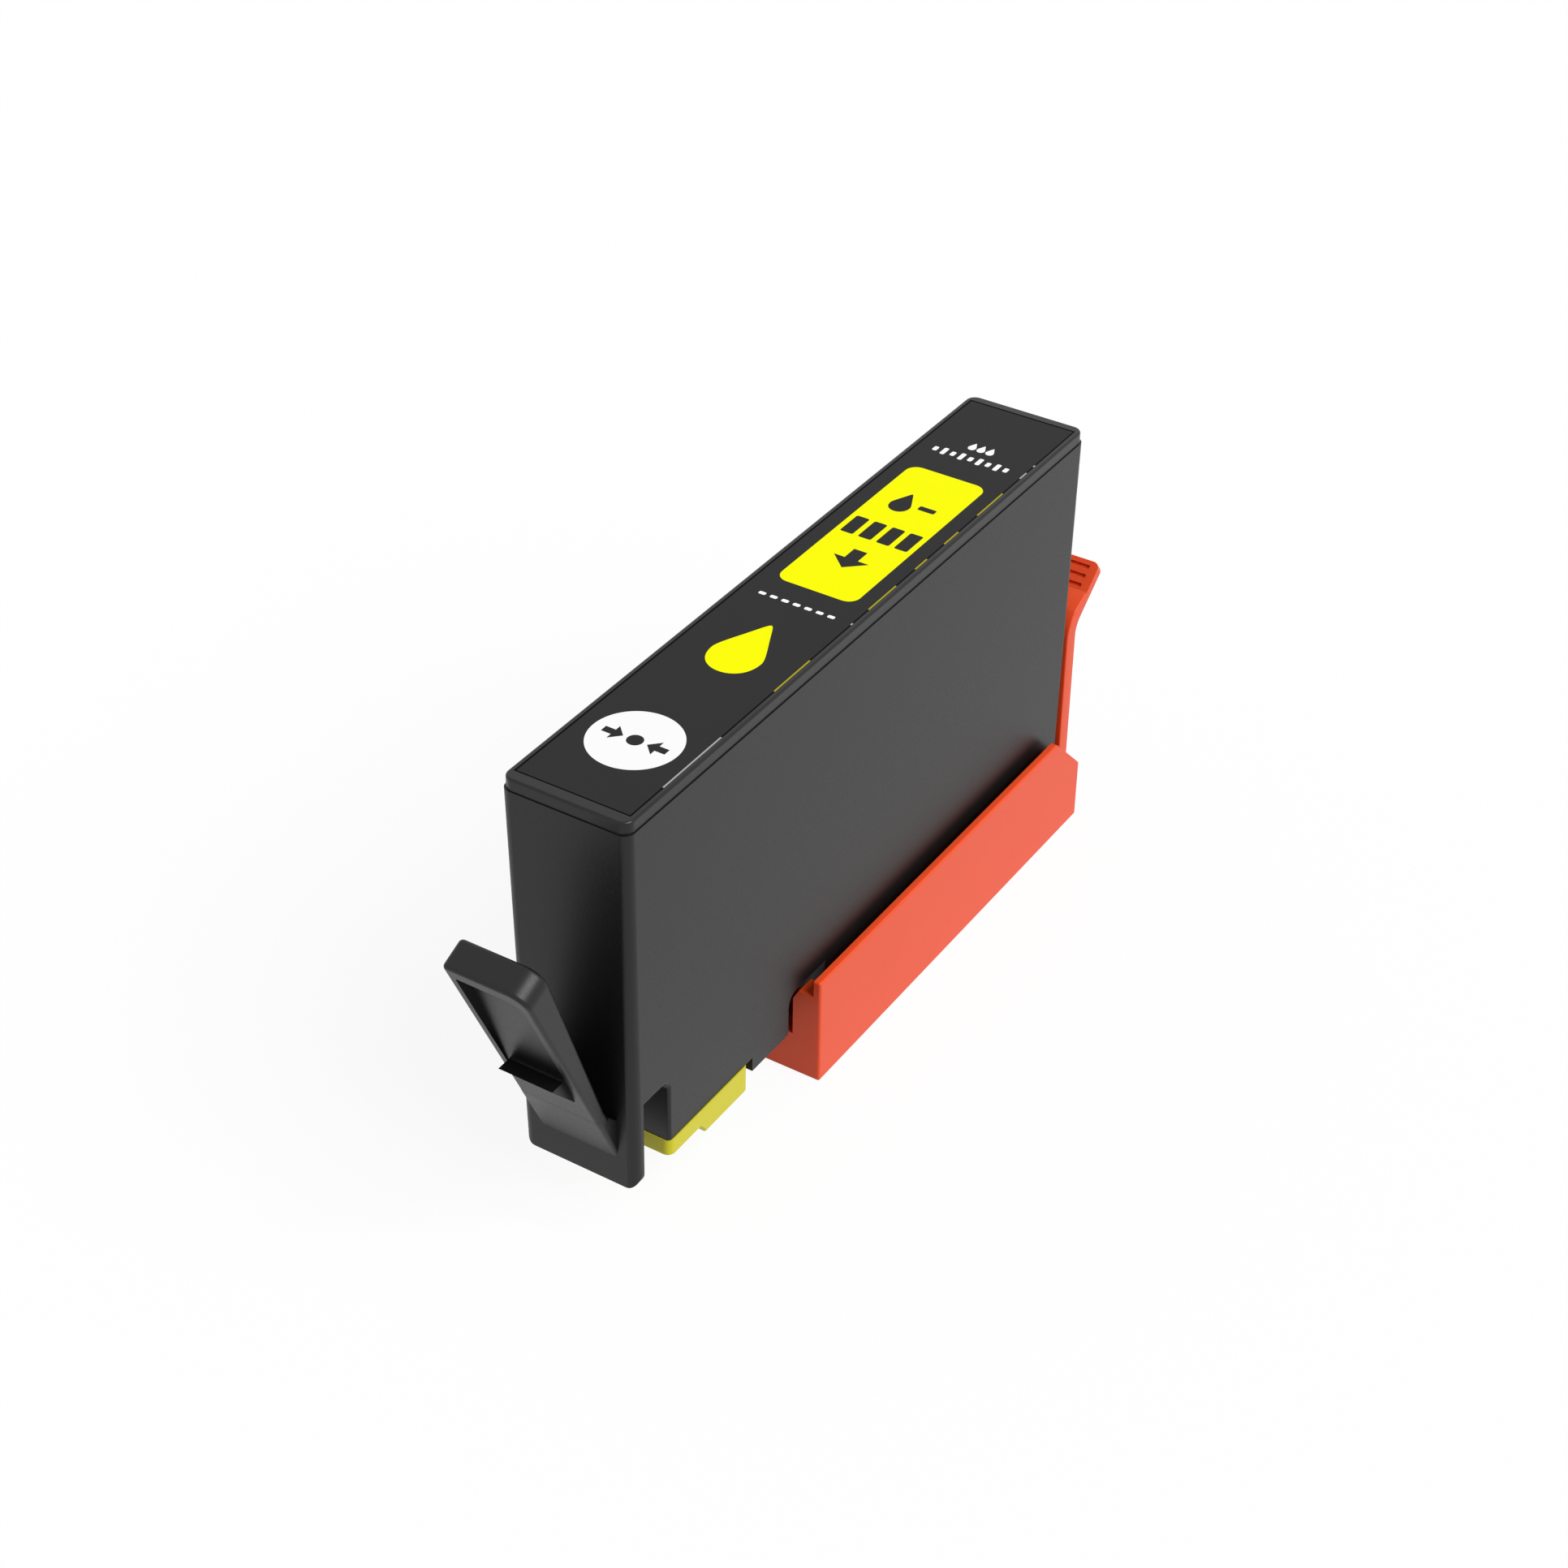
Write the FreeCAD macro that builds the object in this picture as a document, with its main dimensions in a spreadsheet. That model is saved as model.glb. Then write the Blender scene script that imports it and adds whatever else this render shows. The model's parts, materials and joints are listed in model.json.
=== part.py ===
import FreeCAD, Part
import math
import os
import Sketcher

# Inkjet ink cartridge, in millimetres.
# Every profile is drawn in the tank's own frame: X across the width, Y along the length with the latch
# lever at the front (-Y), Z up from the bottom edge of the front plate. Each piece is then placed so that
# the origin of the finished part lies under the middle of its overall box, on the surface that it stands on.

SIZES = {
    # Tank, measured at the seam under the lid
    "tank_width": 16.0,
    "tank_length": 96.66,
    "seam_height": 48.57,
    "draft_angle": 0.5,
    "corner_radius": 1.2,
    "tank_wall": 1.4,
    "floor_wall": 1.4,
    # Underside of the tank, from the front plate to the rear
    "plate_thickness": 1.98,
    "plate_corner": 1.5,
    "slot_length": 4.85,
    "slot_top": 11.35,
    "slot_radius": 1.3,
    "block_length": 16.7,
    "block_bottom": 2.55,
    "block_floor": 3.0,
    "block_edge": 0.45,
    "step_length": 7.6,
    "skirt_bottom": 0.55,
    "notch_length": 7.83,
    "notch_top": 6.3,
    "notch_radius": 1.7,
    # Bulkhead between the free ink and the foam
    "bulkhead_setback": 1.6,
    "bulkhead_thickness": 1.2,
    "bulkhead_window": 3.0,
    "bulkhead_top_gap": 2.2,
    # Ink outlet
    "outlet_setback": 15.5,
    "outlet_radius": 4.0,
    "outlet_bore": 2.6,
    "outlet_length": 6.05,
    "outlet_chamfer": 0.5,
    "screen_seat_radius": 3.8,
    "screen_seat_rise": 1.0,
    "screen_thickness": 0.25,
    "wick_clearance": 0.05,
    "wick_recess": 0.3,
    # Lid
    "lid_thickness": 1.55,
    "lid_setback": 0.13,
    "lid_corner": 1.3,
    "lid_edge": 0.28,
    "tongue_depth": 1.5,
    "tongue_wall": 0.9,
    "tongue_clearance": 0.1,
    # Label and the recess that holds it
    "label_side_rim": 0.6,
    "label_front_rim": 1.45,
    "label_rear_rim": 1.2,
    "label_thickness": 0.1,
    "label_recess": 0.12,
    "label_clearance": 0.03,
    # Vent labyrinth under the label
    "vent_length": 13.2,
    "vent_width": 6.4,
    "vent_depth": 0.35,
    "vent_offset": 12.0,
    "baffle_thickness": 0.6,
    "baffle_gap": 0.6,
    "vent_hole_radius": 0.5,
    "vent_hole_inset": 0.8,
    # Filling hole and its plug
    "fill_offset": 24.0,
    "fill_radius": 1.5,
    "fill_head_radius": 2.4,
    "fill_head_depth": 0.5,
    "plug_clearance": 0.04,
    "plug_reach": 0.6,
    # Foam block
    "foam_clearance": 0.15,
    "foam_top_gap": 3.0,
    # Colour key plate under the block
    "key_overhang": 0.12,
    "key_front_gap": 0.1,
    "key_length": 15.9,
    "key_front_thickness": 2.4,
    "key_rear_thickness": 3.85,
    "key_front_length": 6.03,
    "key_slope": 1.1,
    "key_corner": 0.95,
    "key_edge": 0.25,
    "key_seat_gap": 0.05,
    "peg_radius": 1.2,
    "peg_length": 1.8,
    "peg_spread": 4.2,
    "peg_rear_setback": 4.4,
    "peg_clearance": 0.05,
    # Memory chip on the underside of the key plate
    "chip_length": 4.2,
    "chip_width": 12.4,
    "chip_thickness": 0.6,
    "chip_edge_gap": 0.7,
    "chip_clearance": 0.06,
    "contact_length": 2.4,
    "contact_width": 1.7,
    "contact_pitch": 2.8,
    "contact_thickness": 0.04,
    "resin_length": 2.4,
    "resin_width": 3.6,
    "resin_height": 0.5,
    "resin_slope": 25.0,
    # Latch lever and its root on the front plate
    "hinge_reach": 1.94,
    "hinge_height": 10.81,
    "hinge_radius": 0.72,
    "hinge_clearance": 0.06,
    "root_relief_angle": 20.0,
    "lever_lean": 24.6,
    "lever_length": 28.4,
    "lever_taper": 4.67,
    "lever_width": 10.5,
    "lever_tip_radius": 2.3,
    "lever_tip_corner": 0.6,
    "lever_edge": 0.5,
    "panel_start": 6.0,
    "panel_depth": 1.42,
    "panel_rim": 1.15,
    "panel_tip_rim": 1.9,
    "panel_radius": 1.75,
    "panel_corner": 0.35,
    "hook_width": 7.0,
    "hook_start": 4.8,
    "hook_end": 9.4,
    "hook_reach": 1.72,
    "gusset_length": 2.4,
    "gusset_thickness": 0.5,
    # Transport cap
    "cap_side_gap": 0.8,
    "cap_rear_gap": 0.67,
    "cap_drop": 8.25,
    "cap_rim": 6.65,
    "cap_front_setback": 3.5,
    "cap_wall": 0.95,
    "cap_front_wall": 2.7,
    "cap_floor": 1.3,
    "cap_edge": 0.3,
    "cap_corner_cut": 6.7,
    "ear_gap": 12.0,
    "ear_foot": -2.5,
    "ear_shoulder": 2.92,
    "ear_ledge": 4.3,
    "ear_chamfer": 0.75,
    # Pull strap and its grip
    "strap_width": 15.5,
    "strap_thickness": 1.3,
    "strap_height": 20.56,
    "strap_bend": 3.0,
    "grip_lean": 50.7,
    "grip_length": 8.45,
    "grip_corner": 0.9,
    "groove_width": 0.5,
    "groove_depth": 0.4,
    "groove_pitch": 1.3,
    "groove_first": 0.9,
    "groove_length": 13.2,
    # Cradle ribs inside the cap, and the seal under the outlet
    "rib_thickness": 1.2,
    "rib_seat_gap": 0.05,
    "rib_side_gap": 0.3,
    "rib_rise": 1.0,
    "rib_front": 8.6,
    "rib_middle": 31.0,
    "rib_rear": 12.7,
    "seal_radius": 4.7,
    "seal_gap": 0.05,
    "seal_clearance": 0.05,
    "seal_ring_wall": 0.8,
    "seal_ring_height": 0.8,
}

GROOVE_COUNT = 3
BAFFLE_COUNT = 3
CONTACT_COUNT = 4
OVERRUN = 1.0

X_AXIS = FreeCAD.Vector(1, 0, 0)
Y_AXIS = FreeCAD.Vector(0, 1, 0)
Z_AXIS = FreeCAD.Vector(0, 0, 1)


class Formula:
    """A length or angle together with the spreadsheet expression that gives it."""

    def __init__(self, value, text):
        self.value = value
        self.text = text

    def __add__(self, other):
        other = formula(other)
        return Formula(self.value + other.value, f"({self.text} + {other.text})")

    def __sub__(self, other):
        other = formula(other)
        return Formula(self.value - other.value, f"({self.text} - {other.text})")

    def __mul__(self, other):
        other = formula(other)
        return Formula(self.value * other.value, f"({self.text} * {other.text})")

    def __truediv__(self, other):
        other = formula(other)
        return Formula(self.value / other.value, f"({self.text} / {other.text})")

    def __neg__(self):
        return Formula(-self.value, f"(-1 * {self.text})")


def formula(number):
    """Any number as a formula."""
    if isinstance(number, Formula):
        return number
    return Formula(number, repr(float(number)))


def sine(angle):
    return Formula(math.sin(math.radians(angle.value)), f"sin({angle.text})")


def cosine(angle):
    return Formula(math.cos(math.radians(angle.value)), f"cos({angle.text})")


def tangent(angle):
    return Formula(math.tan(math.radians(angle.value)), f"tan({angle.text})")


def size_sheet(doc):
    """The spreadsheet of driving dimensions."""
    sheet = doc.addObject("Spreadsheet::Sheet", "Sizes")
    for row, (name, number) in enumerate(SIZES.items(), start=1):
        sheet.set(f"A{row}", name.replace("_", " "))
        sheet.set(f"B{row}", str(number))
        sheet.setAlias(f"B{row}", name)
    doc.recompute()
    return sheet


class Sizes:
    """Each driving dimension as a formula, under its name in the sheet."""

    def __init__(self, sheet):
        for name in SIZES:
            setattr(self, name, Formula(float(sheet.get(name)), f"Sizes.{name}"))


doc = FreeCAD.newDocument("InkCartridge")
s = Sizes(size_sheet(doc))


# Features

def new_body(name):
    body = doc.addObject("PartDesign::Body", name)
    body.Label = name
    return body


def new_sketch(body, name, plane, offset=None):
    """A sketch on one of the body's own origin planes, moved along that plane's normal."""
    sketch = body.newObject("Sketcher::SketchObject", name)
    support = [feature for feature in body.Origin.OriginFeatures if feature.Role == plane][0]
    sketch.AttachmentSupport = (support, "")
    sketch.MapMode = "FlatFace"
    if offset is not None:
        sketch.setExpression("AttachmentOffset.Base.z", offset.text)
    return sketch


def pin_point(sketch, index, position, point):
    """Fixes a sketch point at the place that its two formulas give."""
    for kind, axis, coordinate in (("DistanceX", -2, point[0]), ("DistanceY", -1, point[1])):
        coordinate = formula(coordinate)
        if coordinate.value == 0:
            sketch.addConstraint(Sketcher.Constraint("PointOnObject", index, position, axis))
            continue
        datum = sketch.addConstraint(Sketcher.Constraint(kind, -1, 1, index, position, coordinate.value))
        sketch.setExpression(f"Constraints[{datum}]", coordinate.text)


def draw_outline(sketch, points):
    """A closed outline of straight lines through the given points."""
    spots = [FreeCAD.Vector(formula(x).value, formula(y).value, 0) for x, y in points]
    first = sketch.GeometryCount
    count = len(points)
    for step in range(count):
        sketch.addGeometry(Part.LineSegment(spots[step], spots[(step + 1) % count]))
    for step in range(count):
        following = first + (step + 1) % count
        sketch.addConstraint(Sketcher.Constraint("Coincident", first + step, 2, following, 1))
    for step, point in enumerate(points):
        pin_point(sketch, first + step, 1, point)


def draw_rectangle(sketch, left, right, low, high):
    draw_outline(sketch, [(left, low), (right, low), (right, high), (left, high)])


def draw_circle(sketch, x, y, radius):
    centre = FreeCAD.Vector(formula(x).value, formula(y).value, 0)
    index = sketch.addGeometry(Part.Circle(centre, Z_AXIS, radius.value))
    pin_point(sketch, index, 3, (x, y))
    datum = sketch.addConstraint(Sketcher.Constraint("Radius", index, radius.value))
    sketch.setExpression(f"Constraints[{datum}]", radius.text)


def extrude(body, kind, sketch, length, backwards=False, both_ways=False, taper=None):
    """A pad or a pocket of a sketch, checked for adding or removing material."""
    before = body.Shape.Volume if body.Tip else 0.0
    feature = body.newObject(f"PartDesign::{kind}", f"{kind}{sketch.Name}")
    feature.Profile = sketch
    feature.Reversed = backwards
    feature.SideType = "Symmetric" if both_ways else "One side"
    if length is None:
        feature.Type = "ThroughAll"
    else:
        feature.setExpression("Length", formula(length).text)
    if taper is not None:
        feature.setExpression("TaperAngle", taper.text)
    sketch.Visibility = False
    doc.recompute()
    gain = body.Shape.Volume - before
    if "Invalid" in feature.State or (gain if kind == "Pad" else -gain) <= 0:
        raise RuntimeError(f"{body.Label}: {feature.Name} changes nothing")
    return feature


def pad(body, sketch, length, **options):
    return extrude(body, "Pad", sketch, length, **options)


def pocket(body, sketch, length=None, **options):
    return extrude(body, "Pocket", sketch, length, **options)


def round_edges(body, name, radius, chosen, kind="Fillet"):
    """A fillet or chamfer on every edge of the body that the test picks."""
    base = body.Tip
    names = [f"Edge{n}" for n, edge in enumerate(base.Shape.Edges, start=1) if chosen(edge)]
    if not names:
        raise RuntimeError(f"{body.Label}: no edge for {name}")
    feature = body.newObject(f"PartDesign::{kind}", name)
    feature.Base = (base, names)
    feature.setExpression("Radius" if kind == "Fillet" else "Size", radius.text)
    doc.recompute()
    return feature


def repeat_along(body, name, feature, sketch, axis, span, count):
    """Copies of a feature spread evenly along one axis of its sketch."""
    pattern = body.newObject("PartDesign::LinearPattern", name)
    pattern.Originals = [feature]
    pattern.Direction = (sketch, [axis])
    pattern.setExpression("Length", span.text)
    pattern.Occurrences = count
    body.Tip = pattern
    doc.recompute()
    return pattern


# Tests that pick edges

def runs_along(edge, axis):
    """True for an edge whose ends lie along the given axis."""
    if len(edge.Vertexes) < 2:
        return False
    way = edge.Vertexes[-1].Point - edge.Vertexes[0].Point
    return abs(way.normalize() * axis) > 0.999


def centre_at(edge, x=None, y=None, z=None, within=0.01):
    """True for an edge whose centre has the given coordinates."""
    spot = edge.BoundBox.Center
    pairs = ((spot.x, x), (spot.y, y), (spot.z, z))
    return all(abs(found - formula(wanted).value) < within for found, wanted in pairs if wanted is not None)


def place(piece, y=0.0, z=0.0):
    """Moves a piece from the tank's frame to the part's frame."""
    piece.setExpression("Placement.Base.y", (formula(y) + frame_shift).text)
    piece.setExpression("Placement.Base.z", (formula(z) + s.cap_drop).text)


# Places that more than one piece shares

half_width = s.tank_width / 2
half_length = s.tank_length / 2
inner_half_width = half_width - s.tank_wall
inner_half_length = half_length - s.tank_wall
slot_front = s.plate_thickness - half_length
slot_rear = slot_front + s.slot_length
block_rear = slot_rear + s.block_length
step_rear = block_rear + s.step_length
notch_rear = step_rear + s.notch_length
chamber_floor = s.skirt_bottom + s.floor_wall
outlet_y = notch_rear + s.outlet_setback
outlet_mouth = s.skirt_bottom - s.outlet_length
bulkhead_front = notch_rear - s.bulkhead_setback
bulkhead_rear = bulkhead_front + s.bulkhead_thickness
screen_bottom = chamber_floor + s.screen_seat_rise
lid_top = s.seam_height + s.lid_thickness
lid_half_width = half_width - s.lid_setback
lid_half_length = half_length - s.lid_setback
label_floor = lid_top - s.label_recess
label_front = s.label_front_rim - lid_half_length
label_rear = lid_half_length - s.label_rear_rim
label_half_width = lid_half_width - s.label_side_rim
fill_y = s.fill_offset - half_length
vent_y = half_length - s.vent_offset
key_front = slot_rear - s.key_front_gap
key_top = s.block_bottom - s.key_seat_gap
peg_y = key_front + s.key_length - s.peg_rear_setback
chip_top = key_top - s.key_front_thickness + s.chip_thickness
chip_front = key_front + s.chip_edge_gap
hinge_y = -half_length - s.hinge_reach
hinge_z = s.hinge_height
cap_front = step_rear + s.cap_front_setback
cap_rear = half_length + s.cap_rear_gap + s.strap_thickness
cap_floor_top = s.cap_floor - s.cap_drop
cap_inner_half = half_width + s.cap_side_gap
cap_half_width = cap_inner_half + s.cap_wall
cap_inner_front = cap_front + s.cap_front_wall
seal_top = outlet_mouth - s.seal_gap


def tank_half_width_at(height):
    """Half the drafted tank's width at a height."""
    return half_width - (s.seam_height - height) * tangent(s.draft_angle)


def lever_front_reach():
    """How far the rounded tip of the lever lies in front of the middle of the tank."""
    across = s.hinge_radius - s.lever_edge
    up = s.lever_length - s.lever_edge
    return -hinge_y + across * cosine(s.lever_lean) + up * sine(s.lever_lean) + s.lever_edge


grip_rear_reach = cap_rear + s.grip_length * sine(s.grip_lean)
frame_shift = (lever_front_reach() - grip_rear_reach) / 2


# Tank shell: one moulding with drafted walls, a stepped underside, the outlet and the root of the lever

def make_tank_shell():
    body = new_body("tank_shell")

    rim = new_sketch(body, "TankRim", "XY_Plane", s.seam_height)
    draw_rectangle(rim, -half_width, half_width, -half_length, half_length)
    pad(body, rim, s.seam_height, backwards=True, taper=-s.draft_angle)
    round_edges(body, "TankCorners", s.corner_radius, is_tall)

    under = new_sketch(body, "Underside", "YZ_Plane")
    beyond = half_length + OVERRUN
    draw_outline(under, [
        (slot_front, -OVERRUN), (slot_front, s.slot_top),
        (slot_rear, s.slot_top), (slot_rear, s.block_bottom),
        (block_rear, s.block_bottom), (block_rear, s.skirt_bottom),
        (step_rear, s.skirt_bottom), (step_rear, s.notch_top),
        (notch_rear, s.notch_top), (notch_rear, s.skirt_bottom),
        (beyond, s.skirt_bottom), (beyond, -OVERRUN),
    ])
    pocket(body, under, s.tank_width + 2 * OVERRUN, both_ways=True)
    round_edges(body, "SlotCorner", s.slot_radius,
                lambda edge: runs_along(edge, X_AXIS) and centre_at(edge, y=slot_rear, z=s.slot_top))
    round_edges(body, "BlockEdges", s.block_edge,
                lambda edge: centre_at(edge, y=slot_rear) and edge.BoundBox.ZLength > s.slot_radius.value)
    round_edges(body, "NotchCorner", s.notch_radius,
                lambda edge: runs_along(edge, X_AXIS) and centre_at(edge, y=step_rear, z=s.notch_top))
    cut_plate_corners(body)
    hollow_chamber(body)
    add_bulkhead(body)
    add_outlet(body)
    add_lever_root(body)

    holes = new_sketch(body, "PegHoles", "XY_Plane", s.block_bottom)
    for side in (-1, 1):
        draw_circle(holes, s.peg_spread * side, peg_y, s.peg_radius + s.peg_clearance)
    pocket(body, holes, s.peg_length + s.peg_clearance, backwards=True)
    place(body)


def is_tall(edge):
    """True for the four drafted corner edges, which lean a little."""
    return edge.BoundBox.ZLength > s.seam_height.value / 2


def cut_plate_corners(body):
    """Rounds the two lower corners of the front plate, seen from the front."""
    side = tank_half_width_at(0)
    for name, sign in (("PlateCornerLeft", -1), ("PlateCornerRight", 1)):
        corner = new_sketch(body, name, "XZ_Plane", -slot_front)
        outer = (side + OVERRUN) * sign
        inner = (side - s.plate_corner) * sign
        centre = FreeCAD.Vector(inner.value, s.plate_corner.value, 0)
        start = FreeCAD.Vector(inner.value, 0, 0)
        lean = sign * math.radians(45)
        middle = centre + FreeCAD.Vector(math.sin(lean), -math.cos(lean), 0) * s.plate_corner.value
        finish = FreeCAD.Vector((side * sign).value, s.plate_corner.value, 0)
        arc = corner.addGeometry(Part.Arc(start, middle, finish))
        first, last = (1, 2) if sign > 0 else (2, 1)
        low = FreeCAD.Vector(inner.value, -OVERRUN, 0)
        low_outer = FreeCAD.Vector(outer.value, -OVERRUN, 0)
        high_outer = FreeCAD.Vector(outer.value, s.plate_corner.value, 0)
        spots = [start, low, low_outer, high_outer, finish]
        lines = [corner.addGeometry(Part.LineSegment(a, b)) for a, b in zip(spots, spots[1:])]
        corner.addConstraint(Sketcher.Constraint("Coincident", lines[0], 1, arc, first))
        for line, following in zip(lines, lines[1:]):
            corner.addConstraint(Sketcher.Constraint("Coincident", line, 2, following, 1))
        corner.addConstraint(Sketcher.Constraint("Coincident", lines[-1], 2, arc, last))
        pin_point(corner, lines[0], 1, (inner, 0))
        pin_point(corner, lines[1], 1, (inner, -OVERRUN))
        pin_point(corner, lines[2], 1, (outer, -OVERRUN))
        pin_point(corner, lines[3], 1, (outer, s.plate_corner))
        pin_point(corner, lines[3], 2, (side * sign, s.plate_corner))
        datum = corner.addConstraint(Sketcher.Constraint("Radius", arc, s.plate_corner.value))
        corner.setExpression(f"Constraints[{datum}]", s.plate_corner.text)
        pocket(body, corner, s.plate_thickness + OVERRUN, backwards=True)


def draft_above(height):
    """How far a drafted wall of the chamber leans out between a height and the seam."""
    return (s.seam_height - height) * tangent(s.draft_angle)


def hollow_chamber(body):
    """Hollows the shell from the seam, one drafted pocket for each floor level."""
    block_inner = slot_rear + s.tank_wall - draft_above(s.slot_top)
    step_inner = step_rear - s.tank_wall + draft_above(s.notch_top)
    rear_inner = notch_rear + s.tank_wall - draft_above(s.notch_top)
    levels = [
        ("ChamberTop", -inner_half_length, inner_half_length, s.slot_top + s.floor_wall),
        ("ChamberMiddle", block_inner, inner_half_length, s.notch_top + s.floor_wall),
        ("ChamberBlock", block_inner, step_inner, s.block_bottom + s.block_floor),
        ("ChamberRear", rear_inner, inner_half_length, chamber_floor),
    ]
    for name, front, rear, floor in levels:
        opening = new_sketch(body, name, "XY_Plane", s.seam_height)
        draw_rectangle(opening, -inner_half_width, inner_half_width, front, rear)
        pocket(body, opening, s.seam_height - floor, taper=-s.draft_angle)


def add_bulkhead(body):
    """The wall between the free ink and the foam, with a window at its foot for the ink."""
    wall = new_sketch(body, "Bulkhead", "YZ_Plane")
    foot = s.notch_top + s.floor_wall + s.bulkhead_window
    draw_rectangle(wall, bulkhead_front, bulkhead_rear, foot, s.seam_height - s.bulkhead_top_gap)
    pad(body, wall, inner_half_width * 2 + s.tank_wall, both_ways=True)


def add_outlet(body):
    """The round outlet under the floor, its bore, and the seat of the screen inside."""
    pipe = new_sketch(body, "OutletPipe", "XY_Plane", s.skirt_bottom)
    draw_circle(pipe, 0, outlet_y, s.outlet_radius)
    pad(body, pipe, s.outlet_length, backwards=True)
    round_edges(body, "OutletLead", s.outlet_chamfer,
                lambda edge: centre_at(edge, x=0, y=outlet_y, z=outlet_mouth), kind="Chamfer")
    seat = new_sketch(body, "ScreenSeat", "XY_Plane", chamber_floor)
    draw_circle(seat, 0, outlet_y, s.screen_seat_radius)
    pad(body, seat, s.screen_seat_rise)
    bore = new_sketch(body, "OutletBore", "XY_Plane", screen_bottom)
    draw_circle(bore, 0, outlet_y, s.outlet_bore)
    pocket(body, bore, screen_bottom - outlet_mouth)


def add_lever_root(body):
    """The wedge that carries the lever on the front plate, with a round socket along its top."""
    lean = s.lever_lean
    anchor_y = slot_front - s.plate_thickness / 2
    shoulder_y = hinge_y - s.hinge_radius * cosine(lean)
    shoulder_z = hinge_z - s.hinge_radius * sine(lean)
    run = (anchor_y - shoulder_y) / sine(lean)
    socket_radius = s.hinge_radius + s.hinge_clearance
    lip_y = hinge_y + socket_radius * cosine(lean - s.root_relief_angle)
    lip_z = hinge_z + socket_radius * sine(lean - s.root_relief_angle)
    wedge = new_sketch(body, "LeverRoot", "YZ_Plane")
    draw_outline(wedge, [
        (anchor_y, shoulder_z - run * cosine(lean)),
        (shoulder_y, shoulder_z),
        (hinge_y, hinge_z),
        (lip_y, lip_z),
        (anchor_y, lip_z - (anchor_y - lip_y)),
    ])
    pad(body, wedge, s.lever_width, both_ways=True)
    along = FreeCAD.Vector(0, -sine(lean).value, cosine(lean).value)
    round_edges(body, "RootEdges", s.lever_edge, lambda edge: runs_along(edge, along))
    socket = new_sketch(body, "LeverSocket", "YZ_Plane")
    draw_circle(socket, hinge_y, hinge_z, socket_radius)
    pocket(body, socket, s.lever_width + 2 * OVERRUN, both_ways=True)


# Lid: a plate with a tongue that drops into the shell, and a shallow recess for the label

def make_tank_lid():
    body = new_body("tank_lid")
    plate = new_sketch(body, "LidPlate", "XY_Plane", s.seam_height)
    draw_rectangle(plate, -lid_half_width, lid_half_width, -lid_half_length, lid_half_length)
    pad(body, plate, s.lid_thickness)
    round_edges(body, "LidCorners", s.lid_corner, lambda edge: runs_along(edge, Z_AXIS))
    round_edges(body, "LidEdge", s.lid_edge, lambda edge: centre_at(edge, z=lid_top))

    recess = new_sketch(body, "LabelRecess", "XY_Plane", lid_top)
    draw_rectangle(recess, -label_half_width, label_half_width, label_front, label_rear)
    pocket(body, recess, s.label_recess)

    reach_x = inner_half_width - s.tongue_clearance
    reach_y = inner_half_length - s.tongue_clearance
    tongue = new_sketch(body, "LidTongue", "XY_Plane", s.seam_height)
    draw_rectangle(tongue, -reach_x, reach_x, -reach_y, reach_y)
    hollow_x = reach_x - s.tongue_wall
    hollow_y = reach_y - s.tongue_wall
    draw_rectangle(tongue, -hollow_x, hollow_x, -hollow_y, hollow_y)
    pad(body, tongue, s.tongue_depth, backwards=True, taper=-s.draft_angle)
    cut_vent(body)

    fill = new_sketch(body, "FillHole", "XY_Plane", label_floor)
    draw_circle(fill, 0, fill_y, s.fill_radius)
    pocket(body, fill, s.lid_thickness)
    counterbore = new_sketch(body, "FillCounterbore", "XY_Plane", label_floor)
    draw_circle(counterbore, 0, fill_y, s.fill_head_radius)
    pocket(body, counterbore, s.fill_head_depth)
    place(body)


def cut_vent(body):
    """A shallow basin crossed by baffles from alternate sides, with the vent hole at its far end."""
    half_vent = s.vent_width / 2
    vent_front = vent_y - s.vent_length / 2
    vent_rear = vent_y + s.vent_length / 2
    pitch = s.vent_length / (2 * BAFFLE_COUNT + 1)
    basin = new_sketch(body, "VentBasin", "XY_Plane", label_floor)
    draw_rectangle(basin, -half_vent, half_vent, vent_front, vent_rear)
    pocket(body, basin, s.vent_depth)
    root = half_vent + s.baffle_thickness / 2
    tip = half_vent - s.baffle_gap
    for name, left, right, place_in_row in (("BaffleLeft", -root, tip, 1), ("BaffleRight", -tip, root, 2)):
        start = vent_front + pitch * place_in_row - s.baffle_thickness / 2
        baffle = new_sketch(body, name, "XY_Plane", label_floor - s.vent_depth)
        draw_rectangle(baffle, left, right, start, start + s.baffle_thickness)
        wall = pad(body, baffle, s.vent_depth)
        repeat_along(body, f"{name}Row", wall, baffle, "V_Axis",
                     pitch * 2 * (BAFFLE_COUNT - 1), BAFFLE_COUNT)
    hole = new_sketch(body, "VentHole", "XY_Plane", label_floor)
    draw_circle(hole, half_vent - s.vent_hole_inset, vent_rear - s.vent_hole_inset, s.vent_hole_radius)
    pocket(body, hole, s.lid_thickness)


def make_fill_plug():
    """The stopper of the filling hole, with its head sunk in the lid."""
    body = new_body("fill_plug")
    head = new_sketch(body, "PlugHead", "XY_Plane", label_floor - s.plug_clearance)
    draw_circle(head, 0, fill_y, s.fill_head_radius - s.plug_clearance)
    pad(body, head, s.fill_head_depth - s.plug_clearance, backwards=True)
    stem = new_sketch(body, "PlugStem", "XY_Plane", label_floor - s.fill_head_depth)
    draw_circle(stem, 0, fill_y, s.fill_radius - s.plug_clearance)
    length = s.lid_thickness - s.label_recess - s.fill_head_depth + s.plug_reach
    pad(body, stem, length, backwards=True)
    place(body)


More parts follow.
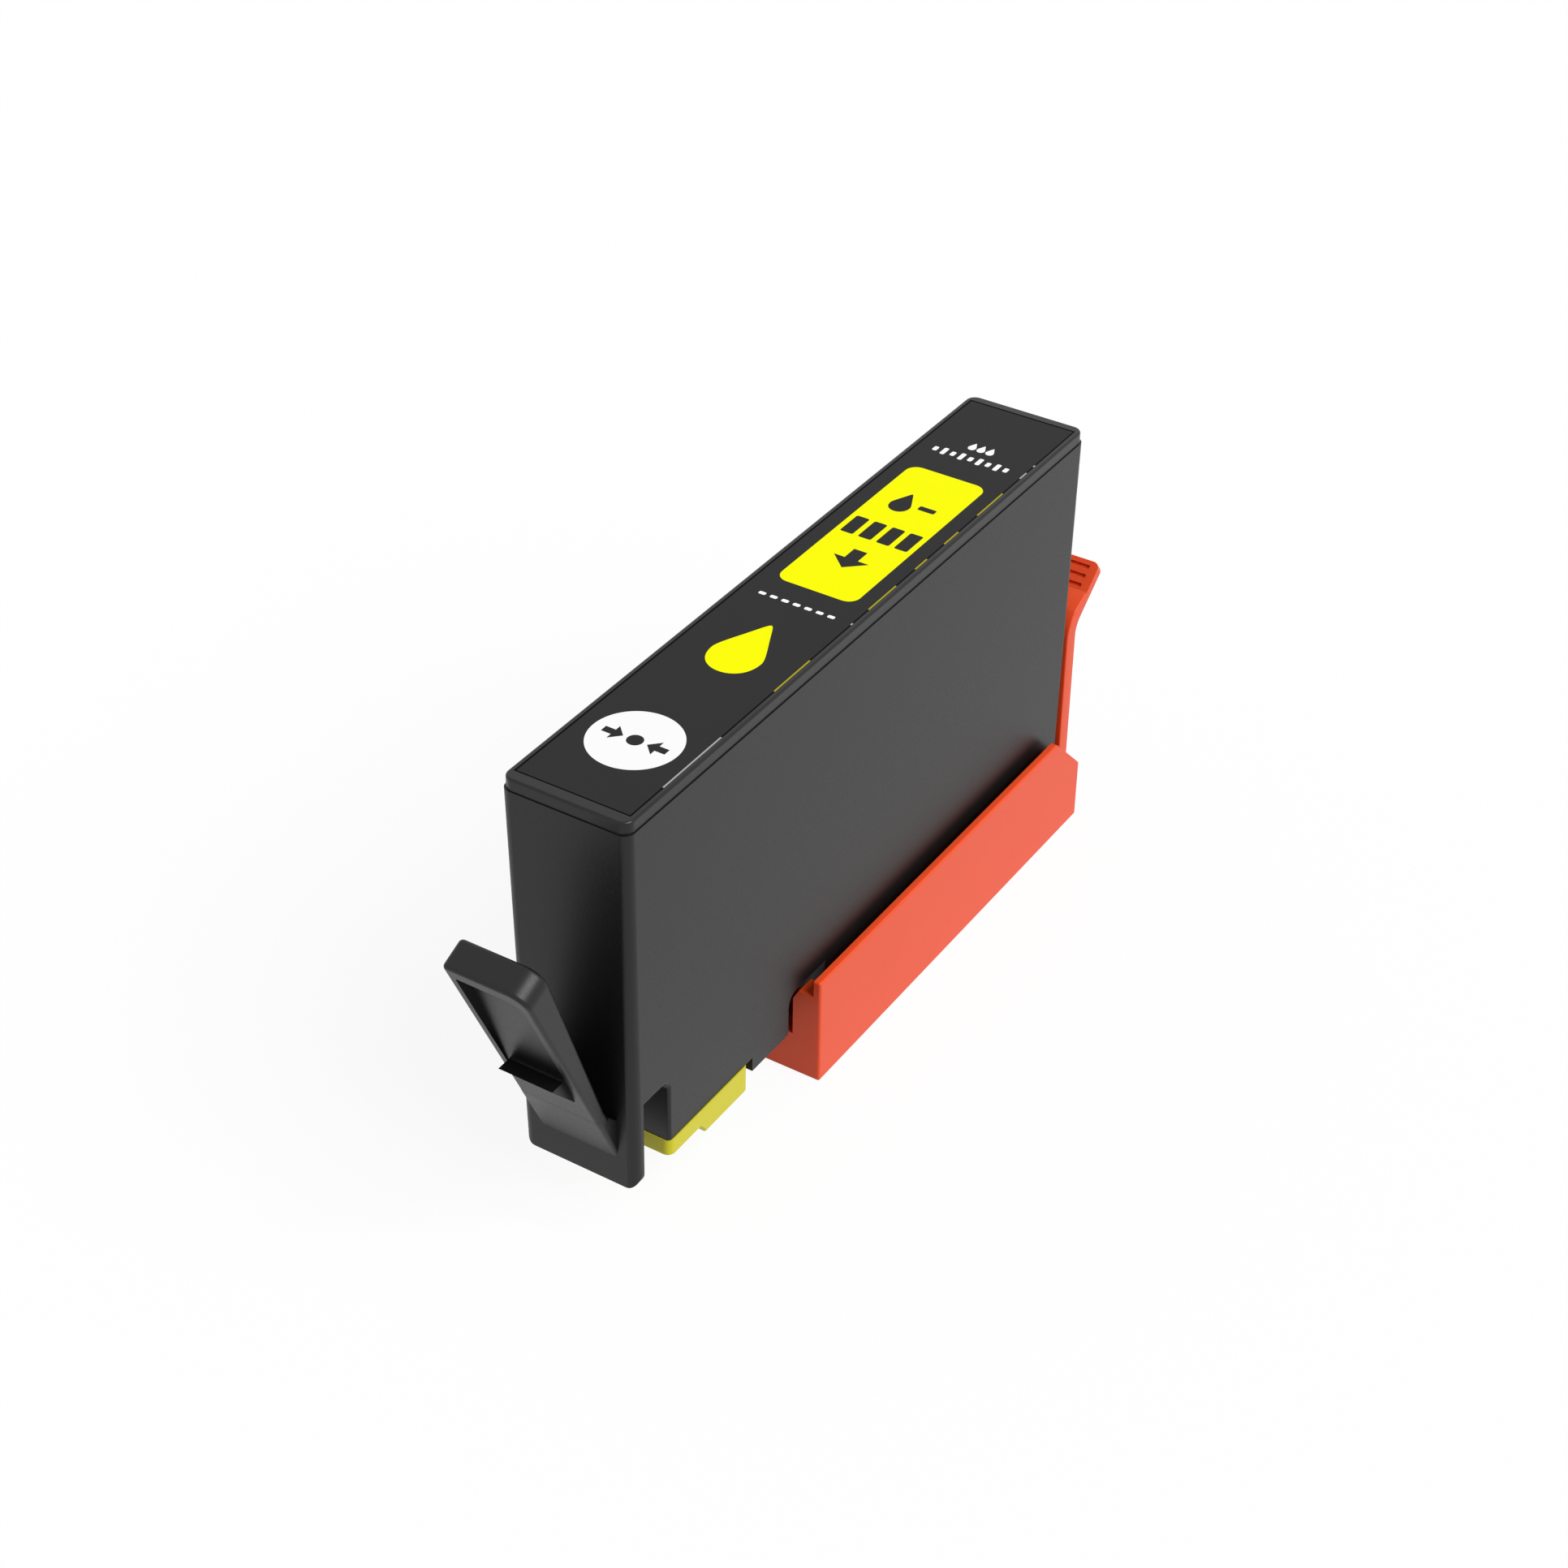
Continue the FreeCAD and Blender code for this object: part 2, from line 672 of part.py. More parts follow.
def make_top_label():
    """The printed film, which lies in the lid's recess."""
    body = new_body("top_label")
    film = new_sketch(body, "LabelFilm", "XY_Plane", label_floor)
    draw_rectangle(film, s.label_clearance - label_half_width, label_half_width - s.label_clearance,
                   label_front + s.label_clearance, label_rear - s.label_clearance)
    pad(body, film, s.label_thickness)
    place(body)


# Ink path: the foam, the screen on its seat and the wick in the outlet

def make_ink_foam():
    body = new_body("ink_foam")
    top = s.seam_height - s.foam_top_gap
    shrink = s.foam_top_gap * tangent(s.draft_angle)
    half_foam = inner_half_width - s.foam_clearance - shrink
    rear = inner_half_length - s.foam_clearance - shrink
    block = new_sketch(body, "FoamTop", "XY_Plane", top)
    draw_rectangle(block, -half_foam, half_foam, bulkhead_rear + s.foam_clearance, rear)
    pad(body, block, top - screen_bottom - s.screen_thickness, backwards=True, taper=-s.draft_angle)
    clear = new_sketch(body, "FoamOverNotch", "YZ_Plane")
    draw_rectangle(clear, bulkhead_front, notch_rear + s.tank_wall + s.foam_clearance,
                   s.skirt_bottom, s.notch_top + s.floor_wall + s.foam_clearance)
    pocket(body, clear, s.tank_width, both_ways=True)
    place(body)


def make_outlet_screen():
    """The fine mesh disc that lies on the seat over the bore."""
    body = new_body("outlet_screen")
    disc = new_sketch(body, "ScreenDisc", "XY_Plane", screen_bottom)
    draw_circle(disc, 0, outlet_y, s.screen_seat_radius - s.wick_clearance)
    pad(body, disc, s.screen_thickness)
    place(body)


def make_outlet_wick():
    """The felt wick that fills the outlet's bore up to the screen."""
    body = new_body("outlet_wick")
    felt = new_sketch(body, "WickFelt", "XY_Plane", outlet_mouth + s.wick_recess)
    draw_circle(felt, 0, outlet_y, s.outlet_bore - s.wick_clearance)
    pad(body, felt, screen_bottom - outlet_mouth - s.wick_recess)
    place(body)


# Colour key plate: the stepped moulding under the block, with the memory chip let into its underside

def make_colour_key_plate():
    body = new_body("colour_key_plate")
    key_rear = key_front + s.key_length
    front_bottom = key_top - s.key_front_thickness
    rear_bottom = key_top - s.key_rear_thickness
    slope_front = key_front + s.key_front_length
    side = new_sketch(body, "KeyProfile", "YZ_Plane")
    draw_outline(side, [
        (key_front, key_top), (key_front, front_bottom), (slope_front, front_bottom),
        (slope_front + s.key_slope, rear_bottom), (key_rear, rear_bottom), (key_rear, key_top),
    ])
    pad(body, side, (tank_half_width_at(s.block_bottom) + s.key_overhang) * 2, both_ways=True)
    round_edges(body, "KeyCorners", s.key_corner, lambda edge: runs_along(edge, Z_AXIS))
    step_lines = (slope_front, slope_front + s.key_slope)
    round_edges(body, "KeyLowerEdges", s.key_edge,
                lambda edge: edge.BoundBox.ZMax < (front_bottom + s.key_edge).value
                and not any(runs_along(edge, X_AXIS) and centre_at(edge, y=y) for y in step_lines),
                kind="Chamfer")
    chip_bed = new_sketch(body, "ChipBed", "XY_Plane", front_bottom)
    gap = s.chip_clearance
    draw_rectangle(chip_bed, -(s.chip_width / 2 + gap), s.chip_width / 2 + gap,
                   chip_front - gap, chip_front + s.chip_length + gap)
    pocket(body, chip_bed, s.chip_thickness, backwards=True)
    resin_bed = new_sketch(body, "ResinBed", "XY_Plane", chip_top)
    draw_rectangle(resin_bed, -(s.resin_width / 2 + gap), s.resin_width / 2 + gap,
                   resin_front() - gap, resin_front() + s.resin_length + gap)
    pocket(body, resin_bed, s.resin_height + gap, backwards=True)
    pegs = new_sketch(body, "KeyPegs", "XY_Plane", key_top)
    for sign in (-1, 1):
        draw_circle(pegs, s.peg_spread * sign, peg_y, s.peg_radius)
    pad(body, pegs, s.peg_length)
    place(body)


def resin_front():
    """The front of the resin drop, which lies over the middle of the chip board."""
    return chip_front + (s.chip_length - s.resin_length) / 2


def make_chip_board():
    body = new_body("chip_board")
    board = new_sketch(body, "ChipBoard", "XY_Plane", chip_top)
    draw_rectangle(board, -s.chip_width / 2, s.chip_width / 2, chip_front, chip_front + s.chip_length)
    pad(body, board, s.chip_thickness, backwards=True)
    place(body)


def make_chip_contacts():
    """The row of contact pads on the underside of the board."""
    body = new_body("chip_contacts")
    body.AllowCompound = True
    pads = new_sketch(body, "ContactPads", "XY_Plane", chip_top - s.chip_thickness)
    pad_front = chip_front + (s.chip_length - s.contact_length) / 2
    for step in range(CONTACT_COUNT):
        middle = s.contact_pitch * (step - (CONTACT_COUNT - 1) / 2)
        draw_rectangle(pads, middle - s.contact_width / 2, middle + s.contact_width / 2,
                       pad_front, pad_front + s.contact_length)
    pad(body, pads, s.contact_thickness, backwards=True)
    place(body)


def make_chip_encapsulant():
    """The drop of resin over the memory chip, on the side of the board that faces the plate."""
    body = new_body("chip_encapsulant")
    drop = new_sketch(body, "ResinDrop", "XY_Plane", chip_top)
    draw_rectangle(drop, -s.resin_width / 2, s.resin_width / 2,
                   resin_front(), resin_front() + s.resin_length)
    pad(body, drop, s.resin_height, taper=-s.resin_slope)
    place(body)


# Latch lever, drawn upright about its own axis and then leaned forward

def make_latch_lever():
    body = new_body("latch_lever")
    outer = -s.hinge_radius
    slope = tangent(s.lever_taper)
    tip_inner = s.hinge_radius + s.lever_length * slope
    arm = new_sketch(body, "LeverArm", "YZ_Plane")
    draw_outline(arm, [(outer, 0), (s.hinge_radius, 0), (tip_inner, s.lever_length),
                       (outer, s.lever_length)])
    pad(body, arm, s.lever_width, both_ways=True)
    cut_lever_panel(body, outer)
    side = s.lever_width / 2
    for name, radius, x in (("LeverTip", s.lever_tip_radius, side), ("LeverTipCorner", s.lever_tip_corner, -side)):
        round_edges(body, name, radius,
                    lambda edge: runs_along(edge, Y_AXIS) and centre_at(edge, x=x, z=s.lever_length))
    bead = new_sketch(body, "LeverBead", "YZ_Plane")
    draw_circle(bead, 0, 0, s.hinge_radius)
    pad(body, bead, s.lever_width, both_ways=True)
    round_edges(body, "LeverEdges", s.lever_edge, on_lever_rim)
    add_panel_gusset(body, outer)
    add_lever_hook(body, outer)
    body.Placement = FreeCAD.Placement(FreeCAD.Vector(), FreeCAD.Rotation(X_AXIS, s.lever_lean.value))
    body.setExpression("Placement.Rotation.Angle", s.lever_lean.text)
    place(body, hinge_y, hinge_z)


def on_lever_rim(edge):
    """True for the edges round the outline and the bead's ends, but not for those across the thickness."""
    box = edge.BoundBox
    if box.ZMax < s.lever_edge.value:
        return box.XLength < s.lever_edge.value
    side = s.lever_width / 2 - s.panel_rim / 2
    top = s.lever_length - s.panel_tip_rim / 2
    outside = max(box.XMax, -box.XMin) > side.value or box.ZMax > top.value
    return outside and (box.YLength < box.ZLength or box.XLength > s.lever_tip_radius.value / 2)


def cut_lever_panel(body, outer):
    """The sunken panel of the outer face, which gets deeper toward the tip."""
    end = s.lever_length - s.panel_tip_rim
    panel = new_sketch(body, "LeverPanel", "YZ_Plane")
    draw_outline(panel, [(outer, s.panel_start), (outer + s.panel_depth, end), (outer - OVERRUN, end),
                         (outer - OVERRUN, s.panel_start)])
    pocket(body, panel, s.lever_width - s.panel_rim * 2, both_ways=True)
    side = s.lever_width / 2 - s.panel_rim
    for name, radius, x in (("PanelRound", s.panel_radius, side), ("PanelCorner", s.panel_corner, -side)):
        round_edges(body, name, radius, lambda edge: runs_along(edge, Y_AXIS) and centre_at(edge, x=x, z=end))


def add_panel_gusset(body, outer):
    """The small web that braces the panel's end."""
    end = s.lever_length - s.panel_tip_rim
    slope = s.panel_depth / (end - s.panel_start)
    floor = outer + s.panel_depth
    gusset = new_sketch(body, "PanelGusset", "YZ_Plane")
    draw_outline(gusset, [(floor - slope * s.gusset_length, end - s.gusset_length),
                          (floor + slope, end + slope), (outer, end)])
    pad(body, gusset, s.gusset_thickness, both_ways=True)


def add_lever_hook(body, outer):
    """The wedge on the outer face, whose ledge lies level when the lever is at rest."""
    tip = outer - s.hook_reach
    level = s.hook_reach * tangent(s.lever_lean)
    root = outer + s.hinge_radius / 2
    hook = new_sketch(body, "LeverHook", "YZ_Plane")
    draw_outline(hook, [
        (root, s.hook_start), (outer, s.hook_start), (tip, s.hook_end + level),
        (outer, s.hook_end), (root, s.hook_end),
    ])
    pad(body, hook, s.hook_width, both_ways=True)


# Transport cap: an open tray that covers the outlet, with ears in front and a pull strap behind

def make_transport_cap():
    body = new_body("transport_cap")
    tray = new_sketch(body, "CapTray", "XY_Plane", -s.cap_drop)
    draw_rectangle(tray, -cap_half_width, cap_half_width, cap_front, cap_rear)
    pad(body, tray, s.cap_drop + s.cap_rim)
    corner = new_sketch(body, "CapCornerCut", "YZ_Plane")
    beyond = cap_rear + OVERRUN
    above = s.cap_rim + OVERRUN
    low = s.cap_rim - s.cap_corner_cut
    draw_outline(corner, [(beyond, low - OVERRUN), (beyond, above),
                          (cap_rear - s.cap_corner_cut - OVERRUN, above)])
    pocket(body, corner, (cap_half_width + OVERRUN) * 2, both_ways=True)
    round_edges(body, "CapEdges", s.cap_edge,
                lambda edge: runs_along(edge, Z_AXIS) or centre_at(edge, z=-s.cap_drop)
                or centre_at(edge, z=s.cap_rim) and not centre_at(edge, x=0, y=cap_rear - s.cap_corner_cut))
    well = new_sketch(body, "CapWell", "XY_Plane", s.cap_rim)
    draw_rectangle(well, -cap_inner_half, cap_inner_half, cap_inner_front, cap_rear - s.strap_thickness)
    pocket(body, well, s.cap_rim - cap_floor_top)
    cut_cap_front(body)
    add_strap(body)
    add_cradle_ribs(body)
    add_seal_ring(body)
    place(body)


def cut_cap_front(body):
    """Opens the front wall between two ears, each with a chamfered inner corner and a ledge."""
    half_gap = s.ear_gap / 2
    ledge_in = half_gap + s.ear_chamfer
    above = s.cap_rim + OVERRUN
    front = new_sketch(body, "CapEars", "XZ_Plane", -cap_inner_front)
    draw_outline(front, [
        (-half_gap, s.ear_foot), (half_gap, s.ear_foot), (half_gap, s.ear_shoulder),
        (ledge_in, s.ear_ledge), (cap_inner_half, s.ear_ledge), (cap_inner_half, above),
        (-cap_inner_half, above), (-cap_inner_half, s.ear_ledge), (-ledge_in, s.ear_ledge),
        (-half_gap, s.ear_shoulder),
    ])
    pocket(body, front, s.cap_front_wall + OVERRUN, backwards=True)


def grip_point(along, across=0.0):
    """A point of the grip: along it from the bend, and across it from its lower face."""
    lean_sine = sine(s.grip_lean)
    lean_cosine = cosine(s.grip_lean)
    y = cap_rear + formula(along) * lean_sine - formula(across) * lean_cosine
    z = s.strap_height + formula(along) * lean_cosine + formula(across) * lean_sine
    return y, z


def add_strap(body):
    """The strap rises from the rear wall and bends back into a ribbed grip."""
    inner_y = cap_rear - s.strap_thickness
    bend_rise = s.strap_thickness * tangent(s.grip_lean / 2)
    strap = new_sketch(body, "PullStrap", "YZ_Plane")
    draw_outline(strap, [
        (inner_y, cap_floor_top), (cap_rear, cap_floor_top), (cap_rear, s.strap_height),
        grip_point(s.grip_length), grip_point(s.grip_length, s.strap_thickness),
        (inner_y, s.strap_height + bend_rise),
    ])
    pad(body, strap, s.strap_width, both_ways=True)
    round_edges(body, "StrapBendOutside", s.strap_bend,
                lambda edge: runs_along(edge, X_AXIS) and centre_at(edge, y=cap_rear, z=s.strap_height))
    round_edges(body, "StrapBendInside", s.strap_bend + s.strap_thickness,
                lambda edge: runs_along(edge, X_AXIS)
                and centre_at(edge, y=inner_y, z=s.strap_height + bend_rise))
    tip_y, tip_z = grip_point(s.grip_length, s.strap_thickness / 2)
    round_edges(body, "GripCorners", s.grip_corner, lambda edge: centre_at(edge, y=tip_y, z=tip_z))
    grooves = new_sketch(body, "GripGrooves", "YZ_Plane")
    for step in range(GROOVE_COUNT):
        middle = s.grip_length - s.groove_first - s.groove_pitch * step
        near = middle - s.groove_width / 2
        far = middle + s.groove_width / 2
        floor = s.strap_thickness - s.groove_depth
        over = s.strap_thickness + OVERRUN
        draw_outline(grooves, [grip_point(near, floor), grip_point(far, floor),
                               grip_point(far, over), grip_point(near, over)])
    pocket(body, grooves, s.groove_length, both_ways=True)


def add_cradle_ribs(body):
    """Ribs across the well that the tank's bottom stands on, with a guide up each side."""
    seat = s.skirt_bottom - s.rib_seat_gap
    top = s.skirt_bottom + s.rib_rise
    cradle_half = tank_half_width_at(top) + s.rib_side_gap
    half_rib = cap_inner_half + s.cap_wall / 2
    for name, rib_y in (("RibFront", cap_front + s.rib_front), ("RibMiddle", cap_front + s.rib_middle),
                        ("RibRear", cap_rear - s.strap_thickness - s.rib_rear)):
        rib = new_sketch(body, name, "XZ_Plane", -rib_y)
        draw_outline(rib, [
            (-half_rib, cap_floor_top), (half_rib, cap_floor_top), (half_rib, top),
            (cradle_half, top), (cradle_half, seat), (-cradle_half, seat),
            (-cradle_half, top), (-half_rib, top),
        ])
        pad(body, rib, s.rib_thickness, both_ways=True)


def add_seal_ring(body):
    """The ring on the well's floor that holds the soft seal under the outlet."""
    ring = new_sketch(body, "SealRing", "XY_Plane", cap_floor_top)
    inside = s.seal_radius + s.seal_clearance
    draw_circle(ring, 0, outlet_y, inside + s.seal_ring_wall)
    draw_circle(ring, 0, outlet_y, inside)
    pad(body, ring, s.seal_ring_height)


def make_outlet_seal():
    """The soft disc in the cap's ring, which the mouth of the outlet rests on."""
    body = new_body("outlet_seal")
    disc = new_sketch(body, "SealDisc", "XY_Plane", cap_floor_top)
    draw_circle(disc, 0, outlet_y, s.seal_radius)
    pad(body, disc, seal_top - cap_floor_top)
    place(body)


def write_pieces():
    """Checks every object and writes each piece to its own file."""
    doc.recompute()
    for item in doc.Objects:
        if "Invalid" in item.State or "Error" in item.State:
            raise RuntimeError(f"{item.Name} failed: {item.State}")
    pieces = [item for item in doc.Objects if item.TypeId == "PartDesign::Body"]
    for piece in pieces:
        if piece.Shape.isNull() or not piece.Shape.isValid():
            raise RuntimeError(f"{piece.Label} has no valid shape")
    os.makedirs("parts", exist_ok=True)
    for piece in pieces:
        piece.Shape.exportStep(os.path.join("parts", f"{piece.Label}.step"))


make_tank_shell()
make_tank_lid()
make_fill_plug()
make_top_label()
make_ink_foam()
make_outlet_screen()
make_outlet_wick()
make_colour_key_plate()
make_chip_board()
make_chip_contacts()
make_chip_encapsulant()
make_latch_lever()
make_transport_cap()
make_outlet_seal()
write_pieces()
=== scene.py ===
"""Looks of the inkjet ink cartridge: its plastics, its printed label and a plain studio."""

import json
import math
from itertools import cycle, pairwise

import bmesh
import bpy
from bpy.props import FloatProperty, FloatVectorProperty, PointerProperty
from mathutils import Matrix, Vector


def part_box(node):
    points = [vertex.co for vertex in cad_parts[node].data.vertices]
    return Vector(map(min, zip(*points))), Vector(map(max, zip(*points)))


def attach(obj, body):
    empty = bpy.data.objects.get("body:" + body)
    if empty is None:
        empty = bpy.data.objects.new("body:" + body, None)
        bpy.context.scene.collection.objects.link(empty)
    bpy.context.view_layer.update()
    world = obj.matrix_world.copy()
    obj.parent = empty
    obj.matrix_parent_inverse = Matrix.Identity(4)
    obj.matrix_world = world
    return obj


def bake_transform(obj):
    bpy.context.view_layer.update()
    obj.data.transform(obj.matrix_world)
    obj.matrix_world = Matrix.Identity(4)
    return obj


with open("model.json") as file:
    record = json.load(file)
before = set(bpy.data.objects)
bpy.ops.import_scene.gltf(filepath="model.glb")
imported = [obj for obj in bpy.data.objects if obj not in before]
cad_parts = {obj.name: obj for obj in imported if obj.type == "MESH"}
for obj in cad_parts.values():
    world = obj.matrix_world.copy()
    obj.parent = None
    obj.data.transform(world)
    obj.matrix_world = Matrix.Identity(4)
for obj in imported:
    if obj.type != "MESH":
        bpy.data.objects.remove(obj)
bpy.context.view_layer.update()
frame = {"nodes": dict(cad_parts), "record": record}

bl_info = {
    "name": "Ink cartridge",
    "version": (1, 0, 0),
    "blender": (4, 5, 0),
    "location": "View3D > Sidebar > Cartridge",
    "description": "Gives the ink cartridge its plastics, its printed label and a plain studio",
    "category": "Object",
}

MM = 0.001


# Colours

def linear(code):
    """An sRGB hex colour such as #3C3C3C as linear red, green and blue."""
    shares = (int(code[place:place + 2], 16) / 255 for place in (1, 3, 5))
    return tuple(share / 12.92 if share <= 0.04045 else ((share + 0.055) / 1.055) ** 2.4
                 for share in shares)


def shade(colour, share=1):
    """A colour with full opacity, made darker or lighter by its share."""
    return tuple(min(1, part * share) for part in colour) + (1,)


# Choices in the sidebar

def colour_choice(name, code, description):
    return FloatVectorProperty(name=name, description=description, subtype="COLOR",
                               size=3, min=0, max=1, default=linear(code))


def length_choice(name, millimetres, description):
    return FloatProperty(name=name, description=description, subtype="DISTANCE",
                         unit="LENGTH", default=millimetres * MM)


def angle_choice(name, degrees, description):
    return FloatProperty(name=name, description=description, subtype="ANGLE",
                         unit="ROTATION", default=math.radians(degrees))


class CartridgeColours(bpy.types.PropertyGroup):
    """Colours of the plastics, the print and the small parts."""
    tank: colour_choice("Tank", "#0E0E0E", "Black polypropylene of the tank and the lever")
    lid: colour_choice("Lid", "#0D0D0D", "Black polypropylene of the lid")
    film: colour_choice("Label", "#2E2E2E", "Black ink over the whole label")
    white_print: colour_choice("White print", "#FFFFFF", "White fields of the label")
    yellow_print: colour_choice("Yellow print", "#FFFF00", "Yellow fields of the label")
    dark_print: colour_choice("Dark print", "#2C2C2C", "Dark shapes on the pale fields")
    # Painted shade: a near-black line where the label's edge stands in shadow
    painted_edge_shade: colour_choice("Painted edge shade", "#080808", "Painted edge shade of the label's film")
    # Painted shade: the print over the label's edge is dimmed to grey and dark yellow, as if it
    # stood in shadow
    white_edge_shaded: colour_choice("White edge", "#B0B0B0", "White print that runs over the cut edge")
    yellow_edge_shaded: colour_choice("Yellow edge", "#B4A61C", "Yellow print that runs over the cut edge")
    key: colour_choice("Colour key", "#D0C81A", "Yellow plate that tells the ink's colour")
    cap: colour_choice("Cap", "#E84D1E", "Orange polypropylene of the transport cap")
    board: colour_choice("Board", "#14502C", "Solder mask of the chip's board")
    plug: colour_choice("Plug", "#C8C8C4", "Stopper of the filling hole")
    foam: colour_choice("Foam", "#D8C860", "Foam that is soaked with yellow ink")
    felt: colour_choice("Wick", "#D2BE46", "Felt wick that is soaked with yellow ink")
    seal: colour_choice("Seal", "#D6DADA", "Silicone disc in the cap")


class CartridgeLabel(bpy.types.PropertyGroup):
    """Sizes and places of the printed fields, measured from the label's front edge."""
    disc_radius: length_choice("Disc radius", 5.3, "Radius of the white disc")
    disc_place: length_choice("Disc place", 11.16, "Label's front edge to the disc's centre")
    drop_place: length_choice("Drop place", 31.9, "Label's front edge to the drop's centre")
    drop_length: length_choice("Drop length", 10.6, "Length of the yellow ink drop")
    panel_place: length_choice("Panel place", 60.88, "Label's front edge to the panel's centre")
    panel_width: length_choice("Panel width", 10.3, "Width of the yellow panel")
    panel_length: length_choice("Panel length", 30.15, "Length of the yellow panel")
    panel_corner: length_choice("Panel corner", 1.5, "Corner radius of the yellow panel")
    dash_place: length_choice("Dash place", 42.27, "Label's front edge to the row of dashes")
    head_place: length_choice("Head place", 82.2, "Label's front edge to the small white shapes")
    ink_thickness: length_choice("Ink thickness", 0.007, "Height of one layer of print")
    # The dark line along the label's edge is painted shade
    painted_shade_width: length_choice("Cut width", 0.19, "Width of the dark line along the label's edge")


class CartridgeHinge(bpy.types.PropertyGroup):
    """The living hinge: the web that joins the lever to its root in one moulding."""
    lean: angle_choice("Lean", 24.6, "How far the lever leans to the front")
    half_depth: length_choice("Half depth", 0.72, "Hinge's axis to the lever's outer face")
    corner: length_choice("Corner", 0.5, "Rounding of the lever's long edges")
    reach: length_choice("Reach", 1.3, "Axis to the web's edges, up and down the lever")
    side_depth: length_choice("Side depth", 0.62, "How far the web goes round the sides, "
                              "past the axis")
    swell: length_choice("Swell", 0.03, "Height of the web over the faces that it joins")
    web: length_choice("Web", 0.12, "Thickness of the web")


class CartridgeStrap(bpy.types.PropertyGroup):
    """The layer that brings the cap's strap to its full thickness, on the side of the tank."""
    thickness: length_choice("Thickness", 0.8, "Thickness of the layer along the strap")
    overlap: length_choice("Overlap", 0.5, "How deep the layer reaches into the strap")
    width: length_choice("Width", 15.52, "Width of the strap")
    gap: length_choice("Gap", 0.67, "Tank's rear to the strap's inner face, at the seam")
    foot: length_choice("Foot", 1.3, "Cap's underside to the layer's foot")
    bend_start: length_choice("Bend start", 27.39, "Cap's underside to the start of the bend")
    bend_radius: length_choice("Bend radius", 4.3, "Radius of the inner face at the bend")
    lean: angle_choice("Lean", 50.7, "How far the grip leans to the rear")
    run_out: length_choice("Run-out", 2.9, "Length on the grip over which the layer thins out")
    edge: length_choice("Edge", 0.15, "Rounding of the layer's long edges")


class CartridgeStudio(bpy.types.PropertyGroup):
    """Camera, light and floor."""
    azimuth: angle_choice("Azimuth", 32.262, "Camera's turn about the cartridge")
    elevation: angle_choice("Elevation", 35.862, "Camera's height above the floor")
    roll: angle_choice("Roll", 0.609, "Camera's turn about its own axis")
    below: length_choice("Below", 50.1, "Label's top down to the point that the camera circles")
    forward: length_choice("Forward", 0.125, "Label's middle to the point that the camera "
                           "circles, to the front")
    distance: length_choice("Distance", 365.19, "Camera to the point that it circles")
    across: length_choice("Across", -3.358, "Camera's step to its own right")
    upward: length_choice("Upward", 18.663, "Camera's step along its own top")
    lens: FloatProperty(name="Lens", description="Focal length in millimetres",
                        subtype="DISTANCE_CAMERA", default=69.245)
    key_light: FloatProperty(name="Key light", description="Strength of the soft lamp at the side",
                             default=2.75)
    room_light: FloatProperty(name="Room light", description="Strength of the even light around",
                              default=0.35)
    lamp_angle: angle_choice("Lamp angle", 40, "Apparent width of the soft lamp")
    floor_size: length_choice("Floor size", 4000, "Length of the floor's sides")
    floor_white: FloatProperty(name="Floor white", description="Share of the floor that "
                               "shows as plain white to the camera", min=0, max=1, default=0.9)


# Materials

# Colour sockets of the Mix node, which go by number because their names repeat
MIX_SHARE, MIX_FIRST, MIX_SECOND, MIX_RESULT = 0, 6, 7, 2
# Metres from one band of the wave texture to the next at a scale of 1
WAVE_REPEAT = math.tau / 20
# Millimetres over which the tone of a moulding drifts
TONE_DRIFT = 9.0
# A milky plastic, which light soaks into
MILKY = {"Subsurface Weight": 0.3, "Subsurface Scale": 0.8 * MM}


def set_inputs(owner, node, inputs):
    """Sets a node's inputs. Each is a value, or another node's socket that is linked to it."""
    for name, value in inputs.items():
        if isinstance(value, bpy.types.NodeSocket):
            owner.node_tree.links.new(value, node.inputs[name])
        else:
            node.inputs[name].default_value = value


def add_node(owner, kind, inputs=None, **settings):
    """Adds a node with its settings and inputs to a material or a world."""
    made = owner.node_tree.nodes.new(kind)
    for name, value in settings.items():
        setattr(made, name, value)
    set_inputs(owner, made, inputs or {})
    return made


def new_material(name):
    """An empty material and its shader, tied to the output."""
    material = bpy.data.materials.new(name)
    material.use_nodes = True
    material.node_tree.nodes.clear()
    shader = add_node(material, "ShaderNodeBsdfPrincipled")
    add_node(material, "ShaderNodeOutputMaterial", {"Surface": shader.outputs["BSDF"]})
    return material, shader


def per_metre(millimetres):
    """Scale of a pattern whose features are this far apart."""
    return 1 / (millimetres * MM)


